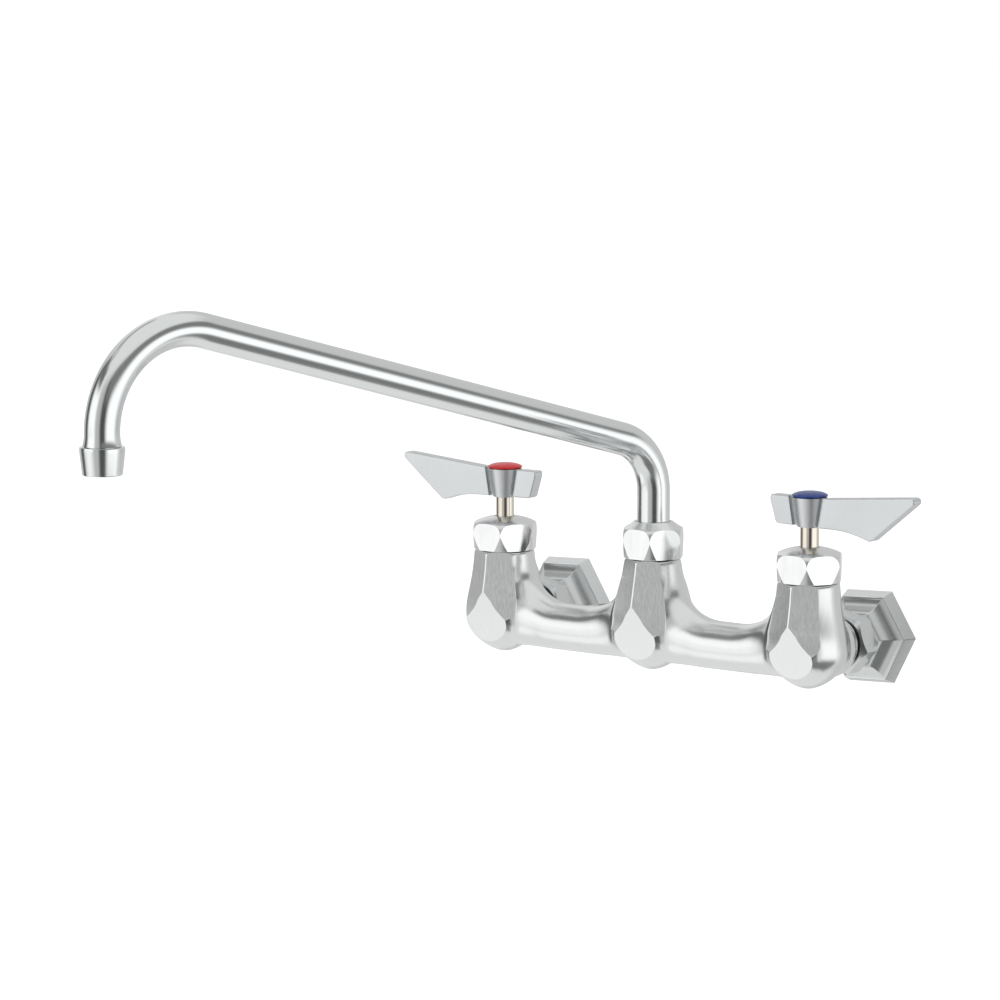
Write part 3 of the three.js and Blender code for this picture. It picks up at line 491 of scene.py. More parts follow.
def blend(tree, first, second):
    """Two patterns in equal parts."""
    mix = add(tree, "ShaderNodeMix", data_type="FLOAT", factor=0.5, a=first, b=second)
    return mix.outputs["Result"]


def pattern(tree, source, stretch, detail=3.0):
    """A noise stretched along the source's axes: cycles per metre in each direction."""
    place = add(tree, "ShaderNodeMapping", vector=source, scale=stretch).outputs["Vector"]
    noise = add(tree, "ShaderNodeTexNoise", vector=place, scale=1.0, detail=detail)
    return noise.outputs["Fac"]


def shaded(tree, colour, value, low, high):
    """The colour made darker or lighter by a pattern."""
    mix = add(tree, "ShaderNodeMix", data_type="RGBA", blend_type="MULTIPLY", factor=1.0)
    feed(tree, (*colour, 1.0), mix.inputs["A"])
    feed(tree, spread(tree, value, low, high), mix.inputs["B"])
    return mix.outputs["Result"]


def new_finish(name):
    finish = bpy.data.materials.new(name)
    finish.use_nodes = True
    return finish, finish.node_tree, finish.node_tree.nodes["Principled BSDF"]


def surface(tree, shader, gloss, tone, relief, depth, strength=1.0):
    """Links a finish's roughness, colour and relief to its shader."""
    bump = add(tree, "ShaderNodeBump", strength=strength, distance=depth * MM, height=relief)
    feed(tree, gloss, shader.inputs["Roughness"])
    feed(tree, tone, shader.inputs["Base Color"])
    feed(tree, bump.outputs["Normal"], shader.inputs["Normal"])


def brushed_metal(
    name, colour, roughness, grain, depth, contrast=0.02, clouds=(40, 40, 40), unwrapped=False
):
    """Brushed metal: fine grain in gloss, tone and height, cloudy patches and worn edges."""
    finish, tree, shader = new_finish(name)
    shader.inputs["Metallic"].default_value = 1.0
    if unwrapped:
        place = add(tree, "ShaderNodeUVMap", uv_map="UVMap").outputs["UV"]
    else:
        place = add(tree, "ShaderNodeTexCoord").outputs["Object"]
    lines = pattern(tree, place, grain)
    patches = pattern(tree, place, clouds, detail=2.0)
    gloss = spread(tree, blend(tree, lines, patches), roughness * 0.9, roughness * 1.1)
    worn = add(tree, "ShaderNodeNewGeometry").outputs["Pointiness"]
    rubbed = spread(tree, worn, 1.0, 0.7, start=0.53, end=0.65)
    tone = shaded(tree, colour, lines, 1 - contrast, 1 + contrast)
    surface(tree, shader, figure(tree, "MULTIPLY", gloss, rubbed), tone, lines, depth)
    return finish


def polished_metal(name, colour, roughness):
    """Polished metal with faint wipe marks and a slightly uneven skin."""
    finish, tree, shader = new_finish(name)
    shader.inputs["Metallic"].default_value = 1.0
    place = add(tree, "ShaderNodeTexCoord").outputs["Object"]
    marks = pattern(tree, place, (220, 220, 60))
    skin = pattern(tree, place, (500, 500, 500), detail=1.0)
    gloss = spread(tree, marks, roughness * 0.5, roughness * 1.6)
    surface(tree, shader, gloss, shaded(tree, colour, marks, 0.95, 1.04), skin, depth=0.002)
    return finish


def moulded(name, colour, roughness, coat=0.0, speckle=700):
    """Moulded plastic, rubber or fired ceramic with a fine speckle."""
    finish, tree, shader = new_finish(name)
    shader.inputs["Coat Weight"].default_value = coat
    shader.inputs["Coat Roughness"].default_value = 0.04
    place = add(tree, "ShaderNodeTexCoord").outputs["Object"]
    grains = pattern(tree, place, (speckle,) * 3)
    gloss = spread(tree, grains, roughness * 0.7, roughness * 1.3)
    tone = shaded(tree, colour, grains, 0.9, 1.08)
    surface(tree, shader, gloss, tone, grains, depth=0.01, strength=0.6)
    return finish


# ------------------------------------------------------------------ body casting


def bell(size, valve):
    """The flare of a turret above its widest part, as radius and height."""
    # The waist only pulls the flare in: the bell doesn't pass through it.
    waist = (17.2, 17.0) if valve else (17.4, 23.0)
    top = (16.4, size.valve_top_z) if valve else (14.9, size.spout_top_z)
    widest = size.turret_radius
    return curve([(widest, size.widest_z), (widest, size.shoulder_z), waist, top], 28)


def in_front(place, axis, widest, lowest):
    """Whether a place is in front of a turret's axis, within an angle and above a level."""
    across, ahead = place.x - axis.x, axis.y - place.y
    return place.z > lowest and abs(math.atan2(across, ahead)) < widest


def turret(size, axis, valve):
    """One round bell turret, drawn out step by step at the front, where its faces come."""
    radius, bottom = size.turret_radius, size.bottom_z
    flat_foot, belly = radius * 0.42, bottom + 11.5
    foot = curve([(0.0, bottom), (flat_foot, bottom), (radius, belly), (radius, size.widest_z)], 20)
    outline = foot[:-1] + bell(size, valve)
    outline.append((0.0, outline[-1][1]))
    piece = spin("turret", outline, axis)
    # Each step takes in less of the front, so the bulge has no edge where it starts.
    steps = 12
    first_angle, last_angle = 100, 52
    first_level, last_level = -1, 9
    grown = PROUD ** (1 / steps)
    for step in range(steps):
        widest = math.radians(first_angle - (first_angle - last_angle) * step / steps)
        lowest = first_level + (last_level - first_level) * step / steps
        pick_points(piece, in_front, axis, widest, lowest)
        bpy.ops.transform.resize(value=(grown, grown, 1), center_override=axis * MM)
    return settle(piece)


def rise(distance, height, run, root):
    """How far a sweep has risen at a distance from the turret's axis."""
    into = min(max((root + run - distance) / run, 0.0), 1.0)
    return height * (1 - math.sqrt(1 - into**2))


def bridge(size, axis, side):
    """The tube between two turrets, drawn out ring by ring with a saddle at both ends."""
    half = size.centres / 2
    root = 0.68 * size.turret_radius
    start = size.turret_radius / 2
    widening, widening_run = 3.5, 16
    steps = 80
    stations = [start + (half - 2 * start) * step / steps for step in range(steps + 1)]
    low = axis + UP * (size.bridge_z - size.bridge_radius)
    start_alone()
    bpy.ops.mesh.primitive_circle_add(
        vertices=64, radius=size.bridge_radius * MM, fill_type="NGON",
        location=(axis + Vector((side * start, 0, size.bridge_z))) * MM,
        rotation=(0, side * math.pi / 2, 0),
    )
    piece = settle(named("bridge"))
    edit_all(piece)
    tall, wide = 1.0, 1.0
    for before, station in zip(stations, stations[1:]):
        distance = min(station, half - station)
        taller = rise(distance, size.saddle_height, size.saddle_length, root)
        wider = rise(distance, widening, widening_run, root)
        next_tall = 1 + taller / (2 * size.bridge_radius)
        next_wide = 1 + wider / size.bridge_radius
        centre = low + Vector((side * station, 0, 0))
        push = Vector((side * (station - before), 0, 0))
        grow(push, (1, next_wide / wide, next_tall / tall), centre)
        tall, wide = next_tall, next_wide
    close_shell()
    return settle(piece)


def boss(size, axis):
    """The inlet boss behind a valve turret."""
    radius, end = size.boss_radius, size.boss_length
    broken, fillet_height, fillet_run = 0.6, 2.5, 7.5
    root = radius + fillet_height
    fillet = curve([
        (radius, size.turret_radius + fillet_run), (radius, size.turret_radius),
        (root, size.turret_radius - 1),
    ], 6)
    outline = [(0.0, end), (radius - broken, end), (radius, end - broken)]
    outline.extend(point for point in fillet if point.y < end - 1)
    outline.append((root, size.turret_radius / 2))
    outline.append((0.0, size.turret_radius / 2))
    return spin("boss", outline, axis, TO_WALL)


def face_slant(size):
    """How far each ground face looks to the side of the front ridge."""
    return (size.face_edge + size.ridge_width) / 2


def face_cutter(size, axis, valve):
    """What is ground off a turret's front to leave two faces beside a narrow ridge."""
    slant = face_slant(size)
    flat = PROUD * math.cos(slant - size.ridge_width)
    side = size.face_edge + math.radians(3)  # a little past the face's edge
    corner = flat / math.cos(side - slant)
    outside, ahead_of_all = 1.5, 1.8
    section = [
        (corner * math.sin(side), -corner * math.cos(side)),
        (0.0, -flat / math.cos(slant)),
        (-corner * math.sin(side), -corner * math.cos(side)),
        (-outside * math.sin(side), -outside * math.cos(side)),
        (0.0, -ahead_of_all),
        (outside * math.sin(side), -outside * math.cos(side)),
    ]
    rings = [(radius, radius, z) for radius, z in bell(size, valve) if z > size.shoulder_z]
    radius, _, first = rings[0]
    runout_step, runout_bow = 1.4, 0.0016
    lower = [first - runout_step * step for step in range(10, 0, -1)]
    runout = [(radius, radius * (1 + runout_bow * (first - z) ** 2), z) for z in lower]
    rings = runout + rings
    rings.append((rings[-1][0], rings[-1][1], rings[-1][2] + 2))
    across, ahead, z = rings[0]
    places = [axis + Vector((x * across, y * ahead, z)) for x, y in section]
    piece = plate("face_cutter", places, UP * (rings[1][2] - z))
    scale = (rings[1][0] / across, rings[1][1] / ahead, 1)
    bpy.ops.transform.resize(value=scale, center_override=axis * MM)
    for (across, ahead, z), (next_across, next_ahead, next_z) in zip(rings[1:], rings[2:]):
        scale = (next_across / across, next_ahead / ahead, 1)
        grow(UP * (next_z - z), scale, axis + UP * next_z)
    close_shell()
    return settle(piece)


def facet_cutter(size, axis):
    """The block in front of a turret's teardrop facet."""
    start_alone()
    block = 3 * size.turret_radius
    lean = size.facet_tilt
    out = Vector((0, -math.cos(lean), -math.sin(lean)))
    place = axis + INTO_ROOM * size.facet_depth + out * block / 2
    bpy.ops.mesh.primitive_cube_add(size=block * MM, location=place * MM, rotation=(lean, 0, 0))
    return settle(named("facet_cutter"))


def in_a_fillet(place, axes, margin):
    """Whether a place is where the bridge sweeps up to a turret, less a margin."""
    nearest, farthest, highest = 12 + margin, 33 - margin, 34 - margin
    away = min(abs(place.x - axis.x) for axis, _ in axes)
    return nearest < away < farthest and place.z < highest


def is_ground(place, normal, slant):
    """Whether a face of the body is one of the ground faces beside a ridge."""
    lowest, slack = -4, math.radians(1.2)
    return place.z > lowest and abs(abs(compass(normal)) - slant) < slack


class FAUCET_OT_body(Operator):
    """Casts the body: three bell turrets on a bridge, faced in front, with two inlet bosses"""

    bl_idname = "faucet.body"
    bl_label = "Body casting"

    def execute(self, context):
        size, look = settings(context)
        middle = INTO_ROOM * size.axis_to_wall
        apart = Vector((size.centres / 2, 0, 0))
        axes = [(middle - apart, True), (middle, False), (middle + apart, True)]
        solids = [turret(size, axis, valve) for axis, valve in axes]
        solids += [bridge(size, middle, side) for side in (-1, 1)]
        solids += [boss(size, axis) for axis, valve in axes if valve]
        body = gathered("body_finished", solids)
        modify(body, "REMESH", mode="VOXEL", voxel_size=0.7 * MM)
        modify(body, "SMOOTH", factor=0.5, iterations=30)
        for margin in (0, 2, 4):
            pick_points(body, in_a_fillet, axes, margin)
            bpy.ops.mesh.vertices_smooth(factor=0.5, repeat=16)
        settle(body)
        for axis, valve in axes:
            combine(body, face_cutter(size, axis, valve))
            combine(body, facet_cutter(size, axis))
            top = size.valve_top_z if valve else size.spout_top_z
            floor = VALVE_FLOOR if valve else SPOUT_FLOOR
            combine(body, rod(TURRET_BORE, axis + UP * floor, axis + UP * top + UP))
            if valve:
                start, end = axis + TO_WALL * 15, axis + TO_WALL * (size.boss_length + 1)
                combine(body, rod(INLET_BORE, start, end))
        smooth_shading(body, 22)
        cast = brushed_metal(
            "satin_body", look.cast_metal, look.satin,
            grain=(900, 900, 60), depth=0.001, contrast=0.015,
        )
        ground = brushed_metal(
            "ground_face", look.cast_metal, look.satin,
            grain=(1700, 1700, 30), depth=0.003, contrast=0.11,
        )
        dress(body, cast, "faucet_base", "satin_body", "body")
        second_finish(body, ground, is_ground, face_slant(size))
        return {"FINISHED"}


# ------------------------------------------------------------------ bonnets and stems


def bonnet(name, foot, flats, height, bore):
    """A bonnet: a turned and domed outline crossed with a hexagon, over a bored spigot."""
    corner = flats / 2 * HEX_CORNER
    around = flats / 2 + 0.8  # radius of the round parts under and over the flats
    # The corners flare out up to the belt and round off up to the brow, where the dome starts.
    belt, brow, crown = height * 0.47, height * 0.81, height - 0.1
    flare = curve([(corner, belt), (corner, (belt + brow) / 2 + 1), (around, brow)], 12)
    dome = curve([
        (around - 1.2, brow + 0.6), (flats / 2 - 3.6, height - 1.2), (bore + 1.4, height)
    ], 16)
    outline = [
        (0.0, 0.0), (around - 0.3, 0.0), (around, 0.3), *flare, *dome,
        (bore + 0.5, crown), (0.0, crown),
    ]
    piece = spin(name, outline, foot, steps=144)
    spigot = 8
    above, below = foot + UP * (height + 1), foot - UP * (spigot + 1)
    combine(piece, hexagon_rod(flats, foot - UP, above), "INTERSECT")
    combine(piece, rod(TURRET_BORE - GAP, foot - UP * spigot, foot + UP * 0.5), "UNION")
    combine(piece, rod(bore, below, above))
    room = max(bore, CARTRIDGE_NECK + GAP)
    combine(piece, rod(room, below, foot + UP * height * 0.7))
    smooth_shading(piece, 14)
    return piece


def is_flat(place, normal):
    """Whether a face of a bonnet is one of its six flats."""
    upright, slack = 0.02, math.radians(0.5)
    past_flat = (compass(normal) + math.pi / 6) % (math.pi / 3) - math.pi / 6
    return abs(normal.z) < upright and abs(past_flat) < slack


class FAUCET_OT_bonnets(Operator):
    """Turns the three satin bonnets and polishes their flats"""

    bl_idname = "faucet.bonnets"
    bl_label = "Bonnets"

    def execute(self, context):
        size, look = settings(context)
        turned = brushed_metal(
            "turned_bonnet", look.cast_metal, look.satin * 0.9, grain=(60, 60, 900), depth=0.001
        )
        bright = polished_metal("bright_bonnet", look.bonnet_metal, look.polish)
        cold = bonnet(
            "cold_bonnet_finished", cold_axis(size) + UP * (size.valve_top_z + GAP),
            size.bonnet_flats, size.bonnet_height, size.stem_radius + GAP,
        )
        hot = copied(cold, "hot_bonnet_finished", cold_to_hot(size))
        spout = bonnet(
            "spout_bonnet_finished", Vector((0, -size.axis_to_wall, size.spout_top_z + GAP)),
            size.spout_bonnet_flats, size.spout_bonnet_height, size.tube_radius + GAP,
        )
        for piece, node in ((cold, "cold_bonnet"), (hot, "hot_bonnet"), (spout, "spout_bonnet")):
            dress(piece, turned, "faucet_base", "bright_bonnet", node)
            second_finish(piece, bright, is_flat)
        return {"FINISHED"}


class FAUCET_OT_stems(Operator):
    """Turns the two valve stems, each with its drive flange and its ring groove"""

    bl_idname = "faucet.stems"
    bl_label = "Stems"

    def execute(self, context):
        size, look = settings(context)
        radius, drive_radius, drive_height, groove_size = size.stem_radius, 7.4, 3, 1.6
        low, high = cad_range("cold_stem", "z")
        groove = cad_range("cold_stem_ring", "z")[0] - GAP / 2
        outline = [
            (0.0, low), (drive_radius, low), (drive_radius, low + drive_height),
            (radius, low + drive_height), (radius, groove), (radius - groove_size, groove),
            (radius - groove_size, groove + groove_size), (radius, groove + groove_size),
            (radius, high - 0.6), (radius - 0.6, high), (0.0, high),
        ]
        axis = cold_axis(size)
        cold = spin("cold_stem_finished", outline, axis, steps=64)
        combine(cold, rod(SCREW_HOLE, axis + UP * (high - 10), axis + UP * (high + 1)))
        smooth_shading(cold, 30)
        hot = copied(cold, "hot_stem_finished", cold_to_hot(size))
        finish = polished_metal("stem_nickel", look.stem_metal, look.polish)
        dress_both(cold, hot, finish, "stem_nickel", "stem")
        return {"FINISHED"}


# ------------------------------------------------------------------ handles and buttons


def blade_outline(size):
    """The blade and tail from the front: x from the stem's axis, and height."""
    tail, low, high = -size.tail_length, size.hub_bottom_z, size.hub_top_z
    heel = Vector((40.4, 61.3))  # the blade's lowest corner, where its slanted end starts
    heel_start, heel_end = heel + Vector((2, 1)), heel + Vector((-2, 0.5))
    nose = 2.2  # radius of the blade's rounded tip
    tip = Vector((size.blade_length - nose, size.blade_tip_z - nose))
    slant = math.atan2(tip.y - heel.y, tip.x - heel.x)
    outline = [Vector((tail + 1.5, high)), Vector((size.hub_top_radius, high))]
    for step in range(13):
        turn = math.pi / 2 + (slant - math.pi) * step / 12
        outline.append(tip + nose * Vector((math.cos(turn), math.sin(turn))))
    outline += curve([heel_start, heel - Vector((0, 0.5)), heel_end], 8)
    outline += curve([
        heel_end, (heel.x * 0.72, low - 1.2), (heel.x * 0.62, low + 0.4),
        (size.hub_bottom_radius, low),
    ], 20)[1:]
    foot = Vector((tail + 4, low + 0.6))
    outline += curve([foot + Vector((2, 0)), foot, foot + Vector((-0.5, 2))], 6)
    outline += curve([(tail + 0.4, high - 3), (tail, high), (tail + 1.5, high)], 6)[:-1]
    return outline


def hub_cone(size, axis, margin, bottom, top):
    """A cone about the stem's axis, wider than the hub by a margin."""
    slope = (size.hub_top_radius - size.hub_bottom_radius) / (size.hub_top_z - size.hub_bottom_z)
    low = size.hub_bottom_radius + margin + (bottom - size.hub_bottom_z) * slope
    high = low + (top - bottom) * slope
    return spin("cone", [(0.0, bottom), (low, bottom), (high, top), (0.0, top)], axis)


def flute_cutter(size, axis):
    """What is cut from both sides of a blade round its hub, down to the blade's core."""
    flute_depth = 1.9
    core_thickness = 2 * (size.blade_thickness / 2 - flute_depth)
    flute = hub_cone(size, axis, size.flute_width, size.hub_bottom_z - 6, size.blade_tip_z + 2)
    start_alone()
    bpy.ops.mesh.primitive_cube_add(
        size=MM, location=(axis + UP * size.hub_top_z) * MM, scale=(60, core_thickness, 80)
    )
    return combine(flute, settle(named("core")))


class FAUCET_OT_handles(Operator):
    """Shapes the two blade handles, with a coned hub that stands out of a fluted blade"""

    bl_idname = "faucet.handles"
    bl_label = "Handles"

    def execute(self, context):
        size, look = settings(context)
        axis = cold_axis(size)
        back = axis + TO_WALL * size.blade_thickness / 2
        places = [back + Vector((point.x, 0, point.y)) for point in blade_outline(size)]
        cold = plate("cold_handle_finished", places, INTO_ROOM * size.blade_thickness)
        close_shell()
        settle(cold)
        soften(cold, 0.9, degrees=40, segments=3)
        combine(cold, flute_cutter(size, axis))
        hub = hub_cone(size, axis, 0.0, size.hub_bottom_z, size.hub_top_z)
        soften(hub, 0.35, degrees=50)
        combine(cold, hub, "UNION")
        screw_head_radius, screw_head_height = 5.4, 1.8
        stem_top = cad_range("cold_stem", "z")[1]
        screw_seat = cad_range("cold_handle_screw", "z")[1] - screw_head_height - GAP
        below, inside, above = axis + UP * 60, axis + UP * 70, axis + UP * 90
        combine(cold, rod(size.stem_radius + GAP, below, axis + UP * (stem_top + GAP)))
        combine(cold, rod(SCREW_HOLE, inside, above, sides=32))
        combine(cold, rod(screw_head_radius + GAP, axis + UP * screw_seat, above))
        smooth_shading(cold, 25)
        turn = size.handle_turn
        hot = copied(cold, "hot_handle_finished", cold_to_hot(size), axis, math.pi + turn)
        only(cold)
        turn_upright(axis, -turn)
        settle(cold)
        finish = brushed_metal(
            "satin_handle", look.handle_metal, look.satin * 1.8, grain=(1300, 1300, 70), depth=0.001
        )
        dress_both(cold, hot, finish, "satin_handle", "handle")
        return {"FINISHED"}


class FAUCET_OT_buttons(Operator):
    """Turns the red and the blue index button"""

    bl_idname = "faucet.buttons"
    bl_label = "Index buttons"

    def execute(self, context):
        size, look = settings(context)
        low, high = cad_range("cold_index_button", "z")
        high += size.button_lift
        seat, rim, plug = size.hub_top_z + GAP, size.button_radius, 5.4
        dome = curve([(rim, seat + 0.9), (rim - 2.2, high), (0.0, high)], 14)
        outline = [
            (0.0, low), (plug, low), (plug, seat), (rim - 0.4, seat), (rim, seat + 0.35), *dome
        ]
        cold = spin("cold_index_button_finished", outline, cold_axis(size))
        smooth_shading(cold, 40)
        hot = copied(cold, "hot_index_button_finished", cold_to_hot(size))
        red = moulded("red_index", look.hot_colour, 0.3, coat=0.15)
        blue = moulded("blue_index", look.cold_colour, 0.3, coat=0.15)
        dress(cold, blue, "cold_handle_set", "blue_index", "cold_index_button")
        dress(hot, red, "hot_handle_set", "red_index", "hot_index_button")
        return {"FINISHED"}


# ------------------------------------------------------------------ spout


def spout_place(size, reach, height):
    """A place in the spout's own upright plane."""
    out = Vector((-math.sin(size.swing), -math.cos(size.swing), 0))
    return INTO_ROOM * size.axis_to_wall + out * reach + UP * height


def bend(centre, axis, turn, steps):
    """Spins the selected loop round a bend."""
    bpy.ops.mesh.spin(steps=steps, angle=-turn, center=centre * MM, axis=axis)


def outlet_shoulder(size):
    """The height of the tube's shoulder, just above the outlet ring."""
    far_corner = size.corner_z + size.reach * math.tan(size.slope)
    far_run = size.far_bend * math.tan((math.pi / 2 + size.slope) / 2)
    return far_corner - far_run - size.outlet_drop + GAP


def map_along(piece, sides):
    """Gives a drawn-out tube a UV map: metres along it, and the share of the way round."""
    mesh = piece.data
    rings = len(mesh.vertices) // sides
    centres = []
    for ring in range(rings):
        places = [mesh.vertices[ring * sides + side].co for side in range(sides)]
        centres.append(sum(places, Vector()) / sides)
    run = [0.0]
    for before, after in zip(centres, centres[1:]):
        run.append(run[-1] + (after - before).length)
    uv = mesh.uv_layers.new(name="UVMap")
    for face in mesh.polygons:
        shares = [mesh.loops[loop].vertex_index % sides / sides for loop in face.loop_indices]
        wraps = max(shares) - min(shares) > 0.5
        for loop, part in zip(face.loop_indices, shares):
            ring = mesh.loops[loop].vertex_index // sides
            uv.data[loop].uv = (run[ring], part + 1 if wraps and part < 0.5 else part)


def flared_mouth(size, drop_top, shoulder):
    """Draws the tube out to its flared end, then in and down to the nipple in the ring."""
    nipple_radius, nipple_length = 8.5, 6.9
    radius, height, steps = size.tube_radius, drop_top, 8
    for step in range(1, steps + 1):
        next_radius = size.tube_radius + (size.mouth_radius - size.tube_radius) * (step / steps) ** 2
        next_height = drop_top + (shoulder - drop_top) * step / steps
        scale = next_radius / radius
        centre = spout_place(size, size.reach, next_height)
        grow(UP * (next_height - height), (scale, scale, 1), centre)
        radius, height = next_radius, next_height
    mouth = spout_place(size, size.reach, shoulder)
    scale = nipple_radius / radius
    sliver = 0.01  # depth of the step from the mouth in to the nipple
    grow(UP * -sliver, (scale, scale, 1), mouth)
    grow(UP * -nipple_length, (1, 1, 1), mouth)


class FAUCET_OT_spout(Operator):
    """Bends the spout's tube: riser, near bend, rising arm, far bend and flared mouth"""

    bl_idname = "faucet.spout"
    bl_label = "Spout tube"

    def execute(self, context):
        size, look = settings(context)
        sides, near_steps, arm_steps, far_steps = 64, 28, 12, 44
        swing_axis = UP.cross(spout_place(size, 1, 0) - spout_place(size, 0, 0))
        near_turn = math.pi / 2 - size.slope
        far_turn = math.pi / 2 + size.slope
        near_run = size.near_bend * math.tan(near_turn / 2)
        far_run = size.far_bend * math.tan(far_turn / 2)
        near_foot = size.corner_z - near_run
        shoulder = outlet_shoulder(size)
        drop_top = shoulder + size.outlet_drop - GAP
        low = cad_range("spout_tube", "z")[0]
        start = spout_place(size, 0, low)
        start_alone()
        bpy.ops.mesh.primitive_circle_add(
            vertices=sides, radius=size.tube_radius * MM, location=start * MM
        )
        piece = named("spout_tube_finished")
        edit_all(piece)
        grow(UP * (near_foot - low), (1, 1, 1), start)
        bend(spout_place(size, size.near_bend, near_foot), swing_axis, near_turn, near_steps)
        arm = size.reach / math.cos(size.slope) - near_run - far_run
        along = spout_place(size, math.cos(size.slope), math.sin(size.slope))
        along = along - spout_place(size, 0, 0)
        for _ in range(arm_steps):
            grow(along * arm / arm_steps, (1, 1, 1), start)
        far_centre = spout_place(size, size.reach - size.far_bend, drop_top)
        bend(far_centre, swing_axis, far_turn, far_steps)
        flared_mouth(size, drop_top, shoulder)
        bpy.ops.object.mode_set(mode="OBJECT")
        map_along(piece, sides)
        edit_all(piece)
        bpy.ops.mesh.normals_make_consistent(inside=False)
        settle(piece)
        modify(piece, "SOLIDIFY", thickness=size.wall * MM, offset=-1)
        smooth_shading(piece, 40)
        finish = brushed_metal(
            "satin_tube", look.tube_metal, look.satin * 0.7, grain=(1000, 3, 1), depth=0.002,
            contrast=0.10, clouds=(30, 4, 1), unwrapped=True,
        )
        dress(piece, finish, "spout_set", "satin_tube", "spout_tube")
        return {"FINISHED"}


class FAUCET_OT_outlet(Operator):
    """Turns the outlet ring under the spout's mouth"""

    bl_idname = "faucet.outlet"
    bl_label = "Outlet ring"

    def execute(self, context):
        size, look = settings(context)
        height, top, bottom = size.outlet_height, size.outlet_top_radius, size.outlet_bottom_radius
        inner, lip_radius, lip_height, band = 8.8, 7.4, 0.8, 2.2
        foot = spout_place(size, size.reach, outlet_shoulder(size) - GAP - height)
        outline = [
            (lip_radius, 0.3), (lip_radius + 0.3, 0.0), (bottom - 0.5, 0.0),
            (bottom - 0.1, 0.15), (bottom, 0.5), (top, height - band), (top, height - 0.5),
            (top - 0.15, height - 0.1), (top - 0.5, height), (inner, height),
            (inner, lip_height), (lip_radius, lip_height),
        ]
        piece = spin("outlet_ring_finished", outline, foot, ring=True)
        smooth_shading(piece, 25)
        finish = brushed_metal(
            "satin_outlet", look.tube_metal, look.satin * 0.7, grain=(1200, 1200, 60), depth=0.004
        )
        dress(piece, finish, "spout_set", "satin_tube", "outlet_ring")
        return {"FINISHED"}


# ------------------------------------------------------------------ inlets


def flange_rings(size):
    """A wall flange's hexagons from the wall forwards: across the flats, and depth."""
    rim_depth, taper, ledge, broken, steps = 7.4, 2.4, 0.5, 0.5, 12
    neck, front = size.flange_neck, size.flange_depth
    face = size.flange_flats - 2 * taper
    cove_outer = face - 2 * ledge
    cove_depth = front - rim_depth - 2 * broken
    rings = [(size.flange_flats, 0.0), (size.flange_flats, 0.6), (face, rim_depth)]
    start = math.radians(35)
    for step in range(steps + 1):
        bow = start + (math.pi / 2 - start) * step / steps
        inward = (math.sin(bow) - math.sin(start)) / (1 - math.sin(start))
        forward = 1 - math.cos(bow) / math.cos(start)
        flats = cove_outer - (cove_outer - neck) * inward
        rings.append((flats, rim_depth + cove_depth * forward))
    rings.append((neck, front - broken))
    rings.append((neck - 2 * broken, front))
    return rings


def flange(size, centre, name):
    """A wall flange: a tapered hexagonal rim, a ledge, a cove and a smaller hexagon."""
    start_alone()
    bpy.ops.mesh.primitive_circle_add(
        vertices=6, radius=size.flange_flats / 2 * HEX_CORNER * MM, fill_type="NGON",
        location=centre * MM, rotation=(math.pi / 2, math.pi / 6, 0),
    )
    piece = settle(named(name))
    edit_all(piece)
    rings = flange_rings(size)
    for (flats, depth), (next_flats, next_depth) in zip(rings, rings[1:]):
        scale = next_flats / flats
        place = centre + INTO_ROOM * next_depth
        grow(INTO_ROOM * (next_depth - depth), (scale, 1, scale), place)
    close_shell()
    bpy.ops.transform.rotate(
        value=size.flange_turn, orient_axis="Y", center_override=centre * MM
    )
    settle(piece)
    soften(piece, 0.3, degrees=28)
    shank_radius, shank_end = 10.6, 14
    combine(piece, rod(shank_radius, centre + TO_WALL, centre + INTO_ROOM * shank_end))
    bore_start, bore_end = centre + INTO_ROOM * (shank_end - 1), centre + INTO_ROOM * 20
    combine(piece, rod(INLET_BORE, bore_start, bore_end))
    smooth_shading(piece, 16)
    return piece


def coupling_nut(size, centre, name):
    """A chamfered hexagonal nut, standing as it was tightened."""
    front, back = (-y for y in cad_range(name.replace("_finished", ""), "y"))
    corner = size.nut_flats / 2 * HEX_CORNER
    outside, crown = corner + 0.1, size.nut_flats / 2 - 0.8
    outline = [
        (0.0, back), (corner - 0.9, back), (outside, back + 0.6),
        (outside, front - 2.4), (crown, front), (0.0, front),
    ]
    piece = spin(name, outline, centre, INTO_ROOM, steps=144)
    start, end = centre + INTO_ROOM * (back - 1), centre + INTO_ROOM * (front + 1)
    combine(piece, hexagon_rod(size.nut_flats, start, end, size.nut_turn), "INTERSECT")
    combine(piece, rod(INLET_BORE, start, end))
    smooth_shading(piece, 16)
    return piece


def coupling_washer(centre, name):
    """The flat rubber washer between a nut and its boss."""
    front, back = (-y for y in cad_range(name.replace("_finished", ""), "y"))
    inner, outer, broken = 8.0, 12.8, 0.2
    outline = [
        (inner, front), (outer - broken, front), (outer, front - broken),
        (outer, back + broken), (outer - broken, back), (inner, back),
    ]
    piece = spin(name, outline, centre, INTO_ROOM, steps=64, ring=True)
    smooth_shading(piece, 30)
    return piece


